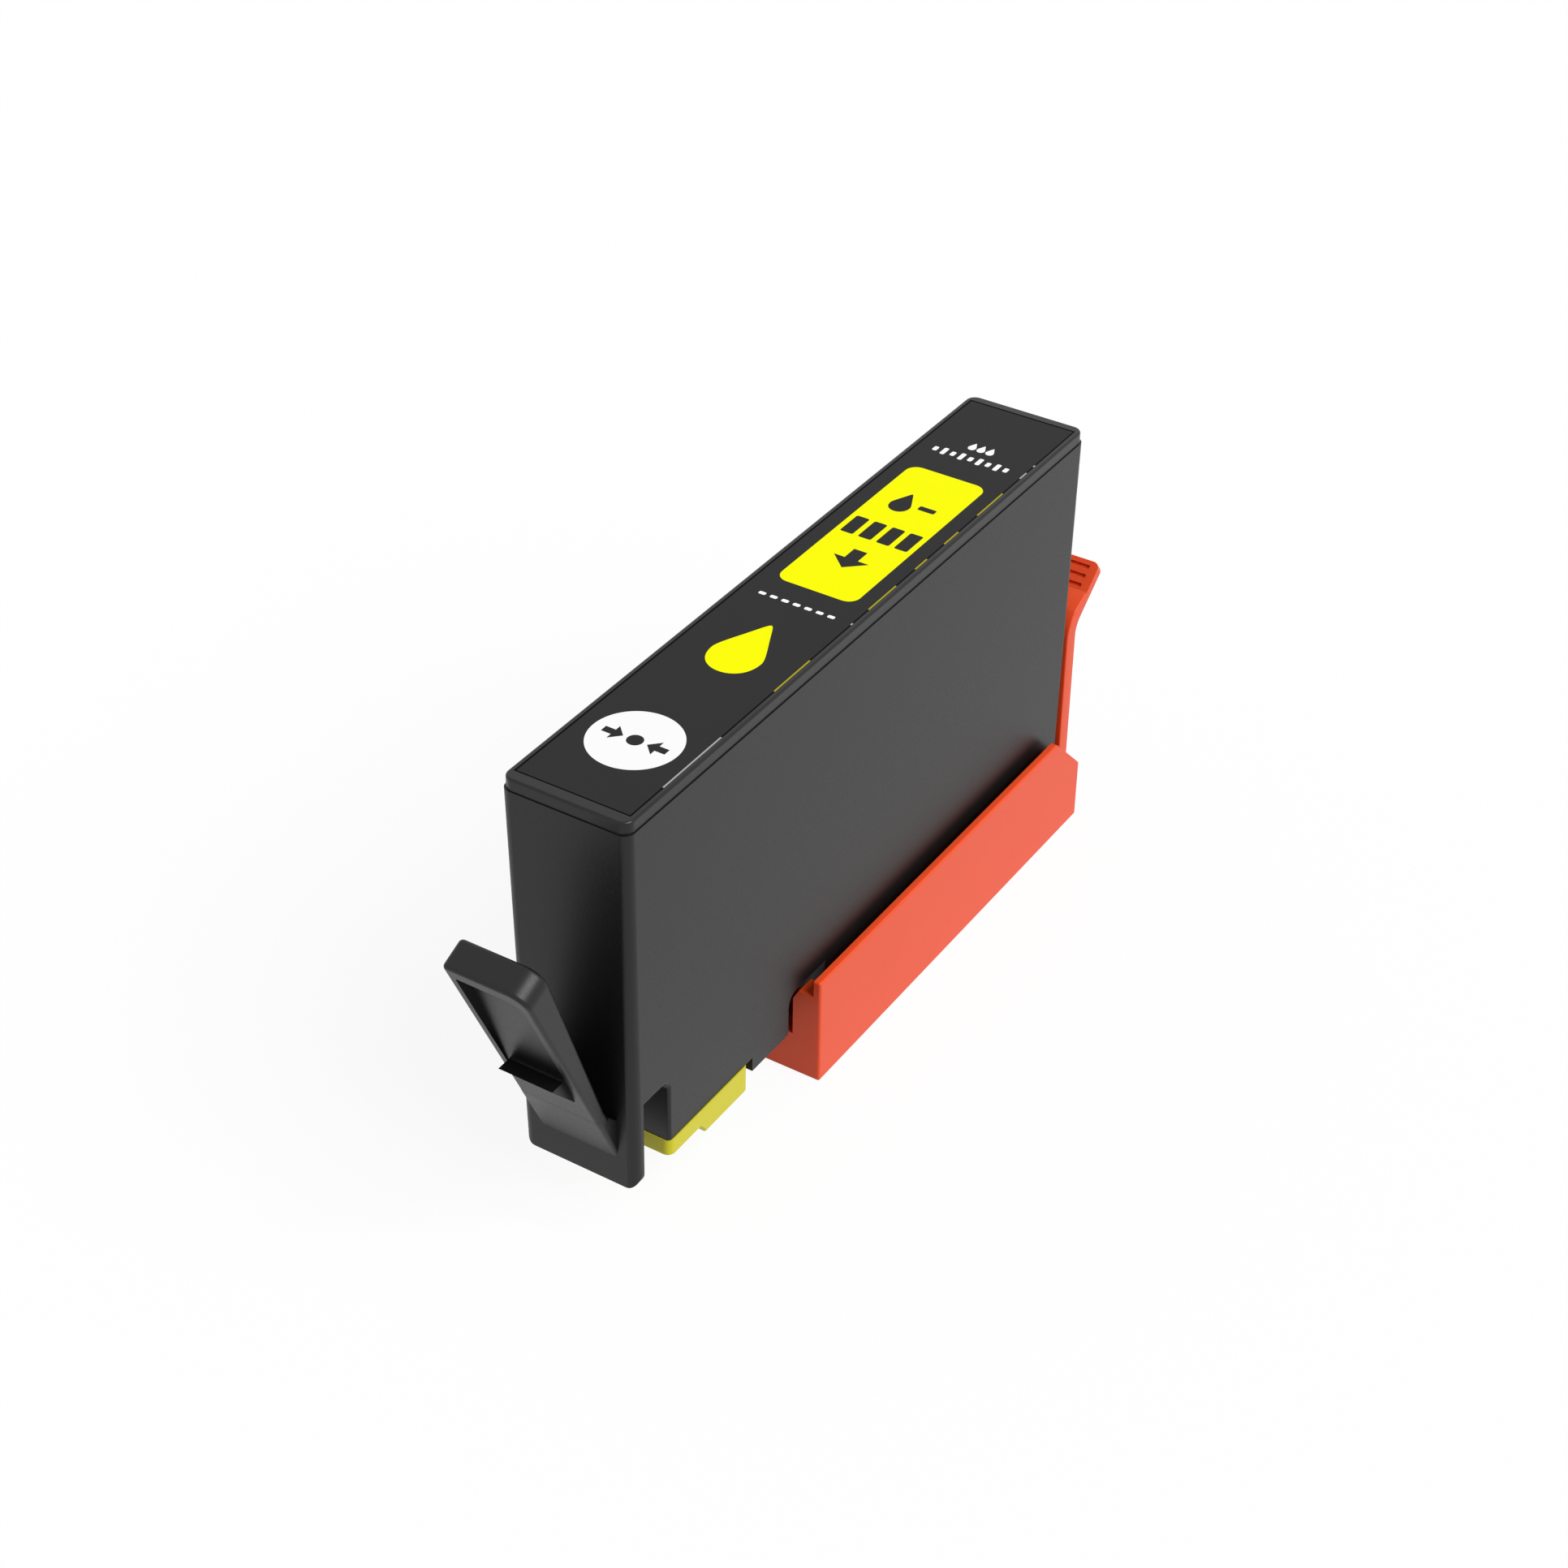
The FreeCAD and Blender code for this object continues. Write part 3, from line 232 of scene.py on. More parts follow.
def plastic(name, colour, grain, depth, roughness, gloss, spread=0.05, haze=0.04, extra=None):
    """A moulded plastic with a fine grain, a broad drift of tone and an uneven sheen.

    grain and depth give the mould's texture in millimetres, and extra holds more of the
    shader's inputs.
    """
    material, shader = new_material(name)
    place = add_node(material, "ShaderNodeTexCoord").outputs["Object"]
    fine = add_node(material, "ShaderNodeTexNoise",
                    {"Vector": place, "Scale": per_metre(grain), "Detail": 2.0,
                     "Roughness": 0.55}).outputs["Fac"]
    broad = add_node(material, "ShaderNodeTexNoise",
                     {"Vector": place, "Scale": per_metre(TONE_DRIFT), "Detail": 3.0,
                      "Roughness": 0.5}).outputs["Fac"]
    # Most of a noise lies from 0.3 to 0.7, which is stretched to the whole range
    tone, speck = (add_node(material, "ShaderNodeMapRange",
                            {"Value": noise, "From Min": 0.3, "From Max": 0.7})
                   for noise in (broad, fine))
    both = add_node(material, "ShaderNodeMath",
                    {0: tone.outputs["Result"], 1: speck.outputs["Result"]},
                    operation="ADD")
    half = add_node(material, "ShaderNodeMath", {0: both.outputs[0], 1: 0.5},
                    operation="MULTIPLY", use_clamp=True)
    mixed = add_node(material, "ShaderNodeMix",
                     {MIX_SHARE: half.outputs[0], MIX_FIRST: shade(colour, 1 - spread),
                      MIX_SECOND: shade(colour, 1 + spread)}, data_type="RGBA")
    sheen = add_node(material, "ShaderNodeMapRange",
                     {"Value": fine, "From Min": 0.25, "From Max": 0.75,
                      "To Min": roughness - haze, "To Max": roughness + haze})
    relief = add_node(material, "ShaderNodeBump",
                      {"Height": fine, "Strength": 0.6, "Distance": depth * MM})
    set_inputs(material, shader,
               {"Base Color": mixed.outputs[MIX_RESULT], "Roughness": sheen.outputs["Result"],
                "Normal": relief.outputs["Normal"], "Specular IOR Level": gloss, "IOR": 1.49,
                **(extra or {})})
    return material


def cellular(name, colour, cell, depth, roughness):
    """A soft, open structure of cells or matted fibres, with painted shade in its pits; cell and
    depth in millimetres.
    """
    material, shader = new_material(name)
    place = add_node(material, "ShaderNodeTexCoord").outputs["Object"]
    height = add_node(material, "ShaderNodeTexVoronoi",
                      {"Vector": place, "Scale": per_metre(cell),
                       "Randomness": 1.0}).outputs["Distance"]
    # Painted shade: the middle of a cell is a pit, painted less than half as bright as its walls
    mixed = add_node(material, "ShaderNodeMix",
                     {MIX_SHARE: height, MIX_FIRST: shade(colour, 0.45),
                      MIX_SECOND: shade(colour)}, data_type="RGBA")
    relief = add_node(material, "ShaderNodeBump",
                      {"Height": height, "Strength": 0.9, "Distance": depth * MM})
    set_inputs(material, shader,
               {"Base Color": mixed.outputs[MIX_RESULT], "Normal": relief.outputs["Normal"],
                "Roughness": roughness})
    return material


def colours():
    """The colours chosen in the sidebar."""
    return bpy.context.scene.cartridge_colours


def textured_black_polypropylene():
    # Moulded in a spark-eroded mould: an even fine grain and a broad, dull sheen
    # The real grain is about 0.1 mm; it is drawn at 0.22 mm so that it shows
    return plastic("textured_black_polypropylene", colours().tank, grain=0.22, depth=0.016,
                   roughness=0.4, gloss=0.36)


def smooth_black_polypropylene():
    # Moulded in a polished mould: smoother than the tank, with a clearer edge highlight
    return plastic("smooth_black_polypropylene", colours().lid, grain=0.5, depth=0.004,
                   roughness=0.3, gloss=0.37, spread=0.02)


def printed_film(name, colour, gloss=0.05):
    # Polypropylene film under a matt varnish: flat colour with hardly any sheen
    return plastic(name, colour, grain=0.3, depth=0.0015, roughness=0.5, gloss=gloss,
                   spread=0.012, haze=0.03)


def orange_polypropylene():
    # Moulded thin: light soaks in a little, so the edges glow in a deeper orange
    return plastic("orange_polypropylene", colours().cap, grain=0.35, depth=0.006,
                   roughness=0.42, gloss=0.4, spread=0.025,
                   extra={"Subsurface Weight": 0.25, "Subsurface Radius": (1.0, 0.28, 0.1),
                          "Subsurface Scale": 0.9 * MM})


def yellow_polystyrene():
    # Moulded in a polished mould: even, opaque yellow with a satin sheen
    return plastic("yellow_polystyrene", colours().key, grain=0.3, depth=0.004,
                   roughness=0.4, gloss=0.38, spread=0.02)


def open_cell_foam():
    # Polyurethane foam, about 20 cells to a centimetre: small pits darkened by painted shade, no
    # shine
    return cellular("open_cell_foam", colours().foam, cell=0.5, depth=0.25, roughness=0.95)


def pressed_felt():
    # Polyester felt: a close mat of fibres, with painted shade between them, no shine
    return cellular("pressed_felt", colours().felt, cell=0.12, depth=0.04, roughness=0.9)


def woven_steel_mesh():
    # Stainless wire of 0.04 mm, woven plain: fine squares that glint where wires cross
    # The real pitch is about 0.1 mm; it is drawn at 0.25 mm so that it shows
    wire, pitch = 0.04, 0.25
    material, shader = new_material("woven_steel_mesh")
    place = add_node(material, "ShaderNodeTexCoord").outputs["Object"]
    across, along = (add_node(material, "ShaderNodeTexWave",
                              {"Vector": place, "Scale": per_metre(pitch) * WAVE_REPEAT,
                               "Distortion": 0.0},
                              wave_type="BANDS", bands_direction=axis, wave_profile="SIN")
                     for axis in ("X", "Y"))
    upper = add_node(material, "ShaderNodeMath",
                     {0: across.outputs["Fac"], 1: along.outputs["Fac"]},
                     operation="MAXIMUM").outputs[0]
    # Painted shade: the openings between the wires are painted dark grey, standing in for the shade
    # behind the screen
    mixed = add_node(material, "ShaderNodeMix",
                     {MIX_SHARE: upper, MIX_FIRST: shade(linear("#3A3A38")),
                      MIX_SECOND: shade(linear("#B9B9B4"))}, data_type="RGBA")
    relief = add_node(material, "ShaderNodeBump",
                      {"Height": upper, "Strength": 1.0, "Distance": wire * MM})
    set_inputs(material, shader,
               {"Base Color": mixed.outputs[MIX_RESULT], "Normal": relief.outputs["Normal"],
                "Metallic": 1.0, "Roughness": 0.35})
    return material


def glass_epoxy_board():
    # Glass fibre in epoxy under a green solder mask: glossy, with a faint weave below
    return plastic("glass_epoxy_board", colours().board, grain=0.6, depth=0.004,
                   roughness=0.28, gloss=0.5, spread=0.1)


def hard_gold_plating():
    # Gold on nickel and copper: warm, bright and slightly brushed by the contacts
    return plastic("hard_gold_plating", linear("#E0B050"), grain=0.2, depth=0.003,
                   roughness=0.24, gloss=0.5, extra={"Metallic": 1.0, "IOR": 1.5})


def black_epoxy_drop():
    # Poured epoxy over the bare chip: a glossy drop with a slightly uneven skin
    return plastic("black_epoxy_drop", linear("#141414"), grain=1.2, depth=0.02,
                   roughness=0.16, gloss=0.5, haze=0.02)


def natural_silicone():
    # Silicone rubber: milky, soft to the eye, with a dull sheen
    return plastic("natural_silicone", colours().seal, grain=0.5, depth=0.006,
                   roughness=0.5, gloss=0.4, spread=0.02, extra=MILKY)


def natural_polyethylene():
    # Moulded low-density polyethylene: pale, waxy and slightly cloudy
    return plastic("natural_polyethylene", colours().plug, grain=0.6, depth=0.006,
                   roughness=0.45, gloss=0.4, spread=0.02, extra=MILKY)


def dress(node, material):
    """Gives a node of the frame its material."""
    slots = frame["nodes"][node].data.materials
    slots.clear()
    slots.append(material)


# Pieces

def join_rows(shape, first, second):
    """Faces between two rows of as many corners."""
    for (left, right), (far_left, far_right) in zip(pairwise(first), pairwise(second)):
        shape.faces.new((left, right, far_right, far_left))


def round_off(shape, crease=math.pi):
    """Shades faces as one smooth skin, apart from edges that bend by the crease or more."""
    bmesh.ops.recalc_face_normals(shape, faces=shape.faces)
    for face in shape.faces:
        face.smooth = True
    for edge in shape.edges:
        edge.smooth = edge.calc_face_angle(0) < crease


def finished_piece(name, shape, material):
    """An object of its own from a shape in bmesh."""
    mesh = bpy.data.meshes.new(name)
    shape.to_mesh(mesh)
    shape.free()
    mesh.materials.append(material)
    piece = bpy.data.objects.new(name, mesh)
    bpy.context.scene.collection.objects.link(piece)
    return piece


# Shapes of the print: outlines in millimetres, seen from above, with the rear at the top

def rounded_box(centre_x, centre_y, width, height, corner, steps=6):
    """A rectangle with round corners, anticlockwise."""
    outline = []
    for turn, (side_x, side_y) in enumerate(((1, 1), (-1, 1), (-1, -1), (1, -1))):
        for step in range(steps + 1):
            angle = math.pi / 2 * (turn + step / steps)
            outline.append((centre_x + side_x * (width / 2 - corner) + corner * math.cos(angle),
                            centre_y + side_y * (height / 2 - corner) + corner * math.sin(angle)))
    return outline


def sharp_box(centre_x, centre_y, width, height):
    """A rectangle whose corners are only just broken."""
    return rounded_box(centre_x, centre_y, width, height, corner=0.01, steps=1)


def round_spot(centre_x, centre_y, radius, steps=64):
    return [(centre_x + radius * math.cos(math.tau * step / steps),
             centre_y + radius * math.sin(math.tau * step / steps)) for step in range(steps)]


def ink_drop(centre_x, centre_y, length, steps=64):
    """A drop with its tip to the rear: a round belly whose sides run into a point."""
    # The belly's radius as a share of the length, how much and how late the sides draw in
    # toward the tip, and how sharply the tip is pulled out
    belly, draw, onset, pull = 0.3, 0.62, 1.4, 3
    radius = length * belly
    belly_y = centre_y - length / 2 + radius
    tip_y = centre_y + length / 2
    outline = []
    for step in range(steps):
        angle = math.tau * step / steps - math.pi / 2
        lift = (1 + math.sin(angle)) / 2
        narrow = 1 - draw * max(0, math.sin(angle)) ** onset
        outline.append((centre_x + radius * math.cos(angle) * narrow,
                        belly_y + radius * math.sin(angle)
                        + (tip_y - belly_y - radius) * lift ** pull))
    return outline


def arrow(centre_x, centre_y, width, length, turn):
    """An arrow that points to the front at no turn; turn is in quarter circles."""
    half_shaft, neck = width * 0.19, 0
    points = [(0, -length / 2), (width / 2, neck), (half_shaft, neck), (half_shaft, length / 2),
              (-half_shaft, length / 2), (-half_shaft, neck), (-width / 2, neck)]
    angle = turn * math.pi / 2
    return [(centre_x + x * math.cos(angle) - y * math.sin(angle),
             centre_y + x * math.sin(angle) + y * math.cos(angle)) for x, y in points]


def row_places(count, apart):
    """Places across the label of shapes that stand in one row about its middle."""
    return [apart * (step - (count - 1) / 2) for step in range(count)]


def edge_lines(width, length, line):
    """Four strips along the edges of a field that starts at the front, without overlaps."""
    across, along = (width - line) / 2, length / 2
    return [sharp_box(0, line / 2, width, line),
            sharp_box(0, length - line / 2, width, line),
            sharp_box(across, along, line, length - 2 * line),
            sharp_box(-across, along, line, length - 2 * line)]


def side_strips(edge, line, spans):
    """Strips along the right edge of the label, each from its start to its end."""
    return [sharp_box(edge - line / 2, (start + end) / 2, line, end - start)
            for start, end in spans]


def lay_print(name, outlines, material, layer):
    """Lays printed shapes on the label. layer counts the prints that lie below."""
    thickness = bpy.context.scene.cartridge_label.ink_thickness
    low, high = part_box("top_label")
    under = high.z + layer * thickness
    shapes = bmesh.new()
    for outline in outlines:
        corners = [shapes.verts.new((x * MM, low.y + y * MM, under)) for x, y in outline]
        field = shapes.faces.new(corners)
        raised = bmesh.ops.extrude_face_region(shapes, geom=[field])
        tops = [part for part in raised["geom"] if isinstance(part, bmesh.types.BMVert)]
        bmesh.ops.translate(shapes, verts=tops, vec=(0, 0, thickness))
    bmesh.ops.recalc_face_normals(shapes, faces=shapes.faces)
    piece = finished_piece(name, shapes, material)
    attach(piece, "tank")


# Shape of the living hinge

def hinge_section(half_width, sizes, lift, side_steps=5, turns=6):
    """Across and outward places round the lever from side to side, lifted off its faces."""
    corner_x, corner_out = half_width - sizes.corner, sizes.half_depth - sizes.corner
    radius = sizes.corner + lift
    side = [(half_width + lift,
             -sizes.side_depth + (corner_out + sizes.side_depth) * step / side_steps)
            for step in range(side_steps)]
    # The ends of the section sink into the lever's sides
    side[0] = (side[0][0] - 2 * sizes.swell, side[0][1])
    bend = [(corner_x + radius * math.cos(math.pi / 2 * step / turns),
             corner_out + radius * math.sin(math.pi / 2 * step / turns))
            for step in range(turns + 1)]
    half = side + bend
    return half + [(0, sizes.half_depth + lift)] + [(-x, out) for x, out in reversed(half)]


def hinge_web(material, rows=20):
    """A thin web over the joint of lever and root, which sinks into both at its edges."""
    sizes = bpy.context.scene.cartridge_hinge
    pivot = Vector(next(joint["pos_m"] for joint in frame["record"]["behaviour"]["joints"]
                        if joint["name"] == "lever_flex"))
    half_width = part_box("latch_lever")[1].x
    up = Vector((0, -math.sin(sizes.lean), math.cos(sizes.lean)))
    out = Vector((0, -math.cos(sizes.lean), -math.sin(sizes.lean)))
    shape = bmesh.new()
    skins = []
    for sink in (0, sizes.web):
        skin = []
        for row in range(rows + 1):
            along = sizes.reach * (2 * row / rows - 1)
            # Nearly flat over the joint, and down into the faces close to the web's edges
            edge = (along / sizes.reach) ** 4
            section = hinge_section(half_width, sizes, sizes.swell * (1 - 2 * edge) - sink)
            skin.append([shape.verts.new(pivot + Vector((across, 0, 0)) + out * outward
                                         + up * along) for across, outward in section])
        skins.append(skin)
    outer, inner = skins
    for skin in skins:
        for low, high in pairwise(skin):
            join_rows(shape, low, high)
    for end in (0, -1):
        join_rows(shape, outer[end], inner[end])
        join_rows(shape, [row[end] for row in outer], [row[end] for row in inner])
    round_off(shape)
    piece = finished_piece("living_hinge_web", shape, material)
    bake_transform(piece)


# Shape of the strap's backing

def backing_line(sizes, turns=12):
    """Front and back places of the layer, from its foot round the bend to its end on the grip."""
    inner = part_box("tank_shell")[1].y + sizes.gap
    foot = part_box("transport_cap")[0].z
    start = Vector((0, inner, foot + sizes.bend_start))
    centre = start + Vector((0, sizes.bend_radius, 0))
    line = [(Vector((0, inner, foot + sizes.foot)), Vector((0, -1, 0)), sizes.thickness)]
    for turn in range(turns + 1):
        angle = sizes.lean * turn / turns
        facing = Vector((0, -math.cos(angle), math.sin(angle)))
        line.append((centre + facing * sizes.bend_radius, facing, sizes.thickness))
    along = Vector((0, math.sin(sizes.lean), math.cos(sizes.lean)))
    line.append((line[-1][0] + along * sizes.run_out, line[-1][1], 0))
    return [(place + facing * thick, place - facing * sizes.overlap)
            for place, facing, thick in line]


def strap_backing(material):
    """A layer on the strap's inner side, which thins out on the grip below its grooves."""
    sizes = bpy.context.scene.cartridge_strap
    side = Vector((sizes.width / 2, 0, 0))
    shape = bmesh.new()
    rings = []
    for front, back in backing_line(sizes):
        corners = (front - side, front + side, back + side, back - side)
        rings.append([shape.verts.new(corner) for corner in corners])
    for low, high in pairwise(rings):
        join_rows(shape, low + low[:1], high + high[:1])
    shape.faces.new(rings[0])
    shape.faces.new(rings[-1])
    fronts = [{low[corner], high[corner]} for low, high in pairwise(rings) for corner in (0, 1)]
    long_edges = [edge for edge in shape.edges if set(edge.verts) in fronts]
    bmesh.ops.bevel(shape, geom=long_edges, offset=sizes.edge, segments=4, profile=0.5,
                    affect="EDGES")
    round_off(shape, crease=math.radians(35))
    piece = finished_piece("strap_backing", shape, material)
    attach(piece, "cap")


# Studio

def shown_plainly(owner):
    """1 for rays from the camera or off gloss and glass, 0 for the rest."""
    path = add_node(owner, "ShaderNodeLightPath").outputs
    seen = add_node(owner, "ShaderNodeMath",
                    {0: path["Is Camera Ray"], 1: path["Is Glossy Ray"]}, operation="ADD")
    return add_node(owner, "ShaderNodeMath",
                    {0: seen.outputs[0], 1: path["Is Transmission Ray"]},
                    operation="ADD", use_clamp=True).outputs[0]


def lay_floor(sizes):
    """A pale floor that the camera sees as white, apart from the cartridge's soft shadow."""
    bpy.ops.mesh.primitive_plane_add(size=sizes.floor_size)
    floor = bpy.context.object
    floor.name = "studio_floor"
    material, shader = new_material("painted_studio_floor")
    seen = shown_plainly(material)
    paint = add_node(material, "ShaderNodeMix",
                     {MIX_SHARE: seen, MIX_FIRST: shade(linear("#B4B4B4")),
                      MIX_SECOND: shade(linear("#FFFFFF"))}, data_type="RGBA")
    set_inputs(material, shader, {"Base Color": paint.outputs[MIX_RESULT], "Roughness": 0.9,
                                  "Specular IOR Level": 0.1})
    share = add_node(material, "ShaderNodeMath",
                     {0: seen, 1: sizes.floor_white}, operation="MULTIPLY")
    glow = add_node(material, "ShaderNodeEmission", {"Strength": 1.0})
    mixed = add_node(material, "ShaderNodeMixShader",
                     {0: share.outputs[0], 1: shader.outputs["BSDF"],
                      2: glow.outputs["Emission"]})
    output = material.node_tree.get_output_node("ALL")
    set_inputs(material, output, {"Surface": mixed.outputs[0]})
    floor.data.materials.append(material)


def light_room(scene, sizes):
    """An even room, white where it is seen, and one broad lamp high at the tank's side."""
    world = bpy.data.worlds.new("even_room")
    world.use_nodes = True
    world.node_tree.nodes.clear()
    strength = add_node(world, "ShaderNodeMapRange",
                        {"Value": shown_plainly(world), "To Min": sizes.room_light,
                         "To Max": 1.0})
    room = add_node(world, "ShaderNodeBackground",
                    {"Color": (1, 1, 1, 1), "Strength": strength.outputs["Result"]})
    add_node(world, "ShaderNodeOutputWorld", {"Surface": room.outputs["Background"]})
    scene.world = world
    lamp = bpy.data.lights.new("side_lamp", "SUN")
    lamp.energy = sizes.key_light
    lamp.angle = sizes.lamp_angle
    light = bpy.data.objects.new("side_lamp", lamp)
    toward_lamp = Vector((0.605, -0.035, 0.63))
    light.location = toward_lamp
    light.rotation_mode = "QUATERNION"
    light.rotation_quaternion = toward_lamp.to_track_quat("Z", "Y")
    scene.collection.objects.link(light)


def place_camera(scene, sizes):
    """A camera at the photograph's angle, that circles the middle of the tank's foot."""
    turn, rise, roll = sizes.azimuth, sizes.elevation, sizes.roll
    back = Vector((math.sin(turn) * math.cos(rise), -math.cos(turn) * math.cos(rise),
                   math.sin(rise)))
    level = Vector((math.cos(turn), math.sin(turn), 0))
    upright = back.cross(level)
    right = level * math.cos(roll) + upright * math.sin(roll)
    top = upright * math.cos(roll) - level * math.sin(roll)
    low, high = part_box("top_label")
    middle = Vector((0, (low.y + high.y) / 2 - sizes.forward, high.z - sizes.below))
    place = middle + back * sizes.distance + right * sizes.across + top * sizes.upward
    axes = Matrix((right, top, back)).transposed().to_4x4()
    data = bpy.data.cameras.new("studio_camera")
    data.lens = sizes.lens
    data.sensor_width = 36
    camera = bpy.data.objects.new("studio_camera", data)
    camera.matrix_world = Matrix.Translation(place) @ axes
    scene.collection.objects.link(camera)
    scene.camera = camera


# Operators

class CARTRIDGE_OT_tank(bpy.types.Operator):
    """Dresses the tank and its lever in textured black plastic, and joins them with a web"""
    bl_idname = "cartridge.tank"
    bl_label = "Tank and lever"

    def execute(self, context):
        black = textured_black_polypropylene()
        dress("tank_shell", black)
        dress("latch_lever", black)
        hinge_web(black)
        return {"FINISHED"}


class CARTRIDGE_OT_lid(bpy.types.Operator):
    """Dresses the lid, and the stopper of its filling hole"""
    bl_idname = "cartridge.lid"
    bl_label = "Lid"

    def execute(self, context):
        dress("tank_lid", smooth_black_polypropylene())
        dress("fill_plug", natural_polyethylene())
        return {"FINISHED"}


class CARTRIDGE_OT_label(bpy.types.Operator):
    """Prints the label: plain fields, and simple shapes in place of words"""
    bl_idname = "cartridge.label"
    bl_label = "Label"

    def execute(self, context):
        sizes = context.scene.cartridge_label
        dress("top_label", printed_film("black_printed_film", colours().film))
        white = printed_film("white_screen_ink", colours().white_print)
        yellow = printed_film("yellow_screen_ink", colours().yellow_print)
        dark = printed_film("dark_screen_ink", colours().dark_print)

        low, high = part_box("top_label")
        # Painted shade: a near-black line laid on the label along all four edges, where its edge
        # stands in shadow
        shadowed = printed_film("film_edge_painted_shade", colours().painted_edge_shade, gloss=0.02)
        line = sizes.painted_shade_width / MM
        lay_print("label_edge_painted_shade",
                  edge_lines((high.x - low.x) / MM, (high.y - low.y) / MM, line), shadowed, layer=0)

        # A white disc, with two arrows on it that point at a dot
        disc, disc_radius = sizes.disc_place / MM, sizes.disc_radius / MM
        lay_print("print_disc", [round_spot(0, disc, disc_radius, steps=96)], white, layer=0)
        arrow_place, arrow_size = 2.75, 2.5
        lay_print("print_press_mark",
                  [arrow(-arrow_place, disc, arrow_size, arrow_size, turn=1),
                   round_spot(0, disc, radius=0.95),
                   arrow(arrow_place, disc, arrow_size, arrow_size, turn=-1)], dark, layer=1)

        drop, drop_length = sizes.drop_place / MM, sizes.drop_length / MM
        lay_print("print_drop", [ink_drop(0, drop, drop_length)], yellow, layer=0)

        # A yellow panel, with a drop and a dash, four blocks and an arrow on it
        panel, panel_length = sizes.panel_place / MM, sizes.panel_length / MM
        lay_print("print_panel",
                  [rounded_box(0, panel, sizes.panel_width / MM, panel_length,
                               sizes.panel_corner / MM)], yellow, layer=0)
        sign, sign_length = panel + 6.9, 4.4
        blocks, block_length = panel - 0.45, 3.9
        pointer, pointer_length = panel - 7.1, 4.2
        lay_print("print_panel_marks",
                  [ink_drop(-1.5, sign, sign_length),
                   rounded_box(1.7, sign, width=2.2, height=0.9, corner=0.2),
                   *(rounded_box(place, blocks, width=1.7, height=block_length, corner=0.25)
                     for place in row_places(4, apart=2.4)),
                   arrow(0, pointer, width=4.6, length=pointer_length, turn=0)], dark, layer=1)

        # The print runs over the film's right edge, with gaps beside the panel's dark marks. It is
        # laid as strips on the label's top, dimmed in colour as painted shade of the edge
        edge = high.x / MM
        dashes, dash_strip = sizes.dash_place / MM, 0.4
        bars, bar_length = sizes.head_place / MM - 1.3, 1.6
        drops = sizes.head_place / MM + 1.5
        lay_print("label_edge_white_painted_shade",
                  side_strips(edge, line,
                              [(disc - disc_radius, disc + disc_radius),
                               (dashes - dash_strip / 2, dashes + dash_strip / 2),
                               (bars - bar_length / 2, bars + bar_length / 2),
                               (drops - 0.3, drops + 0.1)]),
                  printed_film("white_film_edge_painted_shade", colours().white_edge_shaded), layer=1)
        lay_print("label_edge_yellow_painted_shade",
                  side_strips(edge, line,
                              [(drop - drop_length / 2, drop + drop_length / 6),
                               (panel - panel_length / 2, pointer - pointer_length / 2),
                               (pointer + pointer_length / 2, blocks - block_length / 2),
                               (blocks + block_length / 2, sign - sign_length / 2),
                               (sign + sign_length / 2, panel + panel_length / 2)]),
                  printed_film("yellow_film_edge_painted_shade", colours().yellow_edge_shaded), layer=1)

        # Small white marks: a row of dashes, and bars of two heights and drops at the head
        small = [rounded_box(place, dashes, width=0.9, height=0.55, corner=0.2)
                 for place in row_places(7, apart=1.5)]
        small += [rounded_box(place, bars, width=0.6, height=height, corner=0.2)
                  for place, height in zip(row_places(9, apart=1.2), cycle((1.0, bar_length)))]
        small += [ink_drop(place, drops, length=1.7, steps=24)
                  for place in row_places(3, apart=1.2)]
        lay_print("print_small_marks", small, white, layer=0)
        return {"FINISHED"}


class CARTRIDGE_OT_colour_key(bpy.types.Operator):
    """Dresses the yellow key plate and the chip that it carries"""
    bl_idname = "cartridge.colour_key"
    bl_label = "Colour key and chip"

    def execute(self, context):
        dress("colour_key_plate", yellow_polystyrene())
        dress("chip_board", glass_epoxy_board())
        dress("chip_contacts", hard_gold_plating())
        dress("chip_encapsulant", black_epoxy_drop())
        return {"FINISHED"}


class CARTRIDGE_OT_ink_path(bpy.types.Operator):
    """Dresses the foam, the screen and the wick that the ink runs through"""
    bl_idname = "cartridge.ink_path"
    bl_label = "Ink path"

    def execute(self, context):
        dress("ink_foam", open_cell_foam())
        dress("outlet_screen", woven_steel_mesh())
        dress("outlet_wick", pressed_felt())
        return {"FINISHED"}


class CARTRIDGE_OT_cap(bpy.types.Operator):
    """Dresses the orange transport cap and its seal, and thickens the cap's strap"""
    bl_idname = "cartridge.cap"
    bl_label = "Transport cap"

    def execute(self, context):
        orange = orange_polypropylene()
        dress("transport_cap", orange)
        strap_backing(orange)
        dress("outlet_seal", natural_silicone())
        return {"FINISHED"}


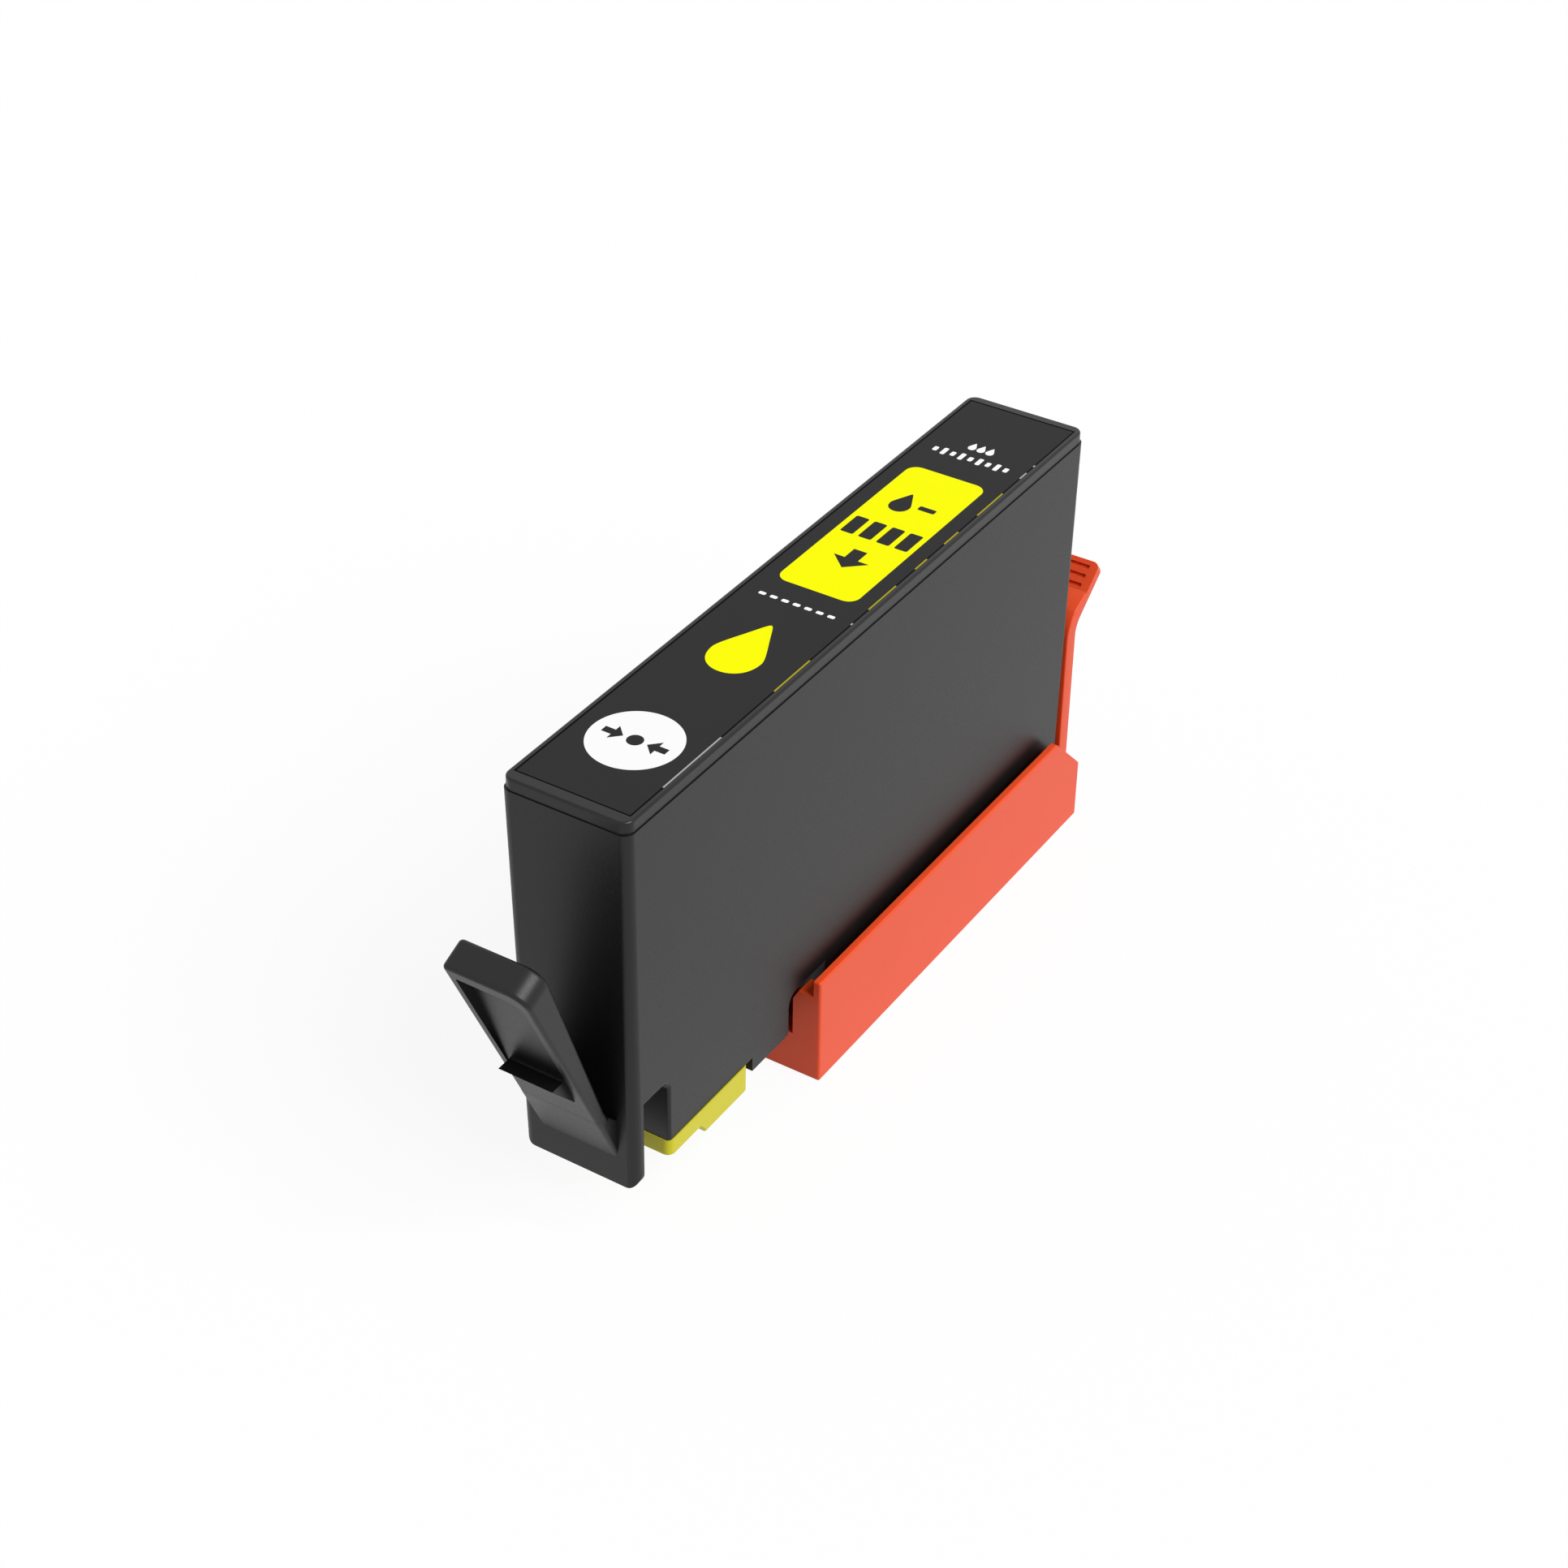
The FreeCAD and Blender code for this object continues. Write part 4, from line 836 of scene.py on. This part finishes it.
class CARTRIDGE_OT_studio(bpy.types.Operator):
    """Sets up the floor, the soft light and the camera"""
    bl_idname = "cartridge.studio"
    bl_label = "Studio"

    def execute(self, context):
        scene = context.scene
        sizes = scene.cartridge_studio
        scene.view_settings.view_transform = "Standard"
        lay_floor(sizes)
        light_room(scene, sizes)
        place_camera(scene, sizes)
        return {"FINISHED"}


OPERATORS = (CARTRIDGE_OT_tank, CARTRIDGE_OT_lid, CARTRIDGE_OT_label,
             CARTRIDGE_OT_colour_key, CARTRIDGE_OT_ink_path, CARTRIDGE_OT_cap,
             CARTRIDGE_OT_studio)

GROUPS = {"cartridge_colours": CartridgeColours, "cartridge_label": CartridgeLabel,
          "cartridge_hinge": CartridgeHinge, "cartridge_strap": CartridgeStrap,
          "cartridge_studio": CartridgeStudio}


class CARTRIDGE_PT_panel(bpy.types.Panel):
    """Lists the cartridge's pieces, colours and sizes"""
    bl_idname = "CARTRIDGE_PT_panel"
    bl_label = "Ink cartridge"
    bl_space_type = "VIEW_3D"
    bl_region_type = "UI"
    bl_category = "Cartridge"

    def draw(self, context):
        for operator in OPERATORS:
            self.layout.operator(operator.bl_idname)
        for group in GROUPS:
            choices = getattr(context.scene, group)
            box = self.layout.box()
            for choice in choices.bl_rna.properties.keys():
                if choice not in ("rna_type", "name"):
                    box.prop(choices, choice)


def register():
    for kind in (*GROUPS.values(), *OPERATORS, CARTRIDGE_PT_panel):
        bpy.utils.register_class(kind)
    for name, group in GROUPS.items():
        setattr(bpy.types.Scene, name, PointerProperty(type=group))


def unregister():
    for name in GROUPS:
        delattr(bpy.types.Scene, name)
    for kind in (CARTRIDGE_PT_panel, *reversed(OPERATORS), *GROUPS.values()):
        bpy.utils.unregister_class(kind)


def main():
    """Dresses the whole cartridge."""
    register()
    bpy.ops.cartridge.tank()
    bpy.ops.cartridge.lid()
    bpy.ops.cartridge.label()
    bpy.ops.cartridge.colour_key()
    bpy.ops.cartridge.ink_path()
    bpy.ops.cartridge.cap()
    bpy.ops.cartridge.studio()


if __name__ == "__main__":
    main()
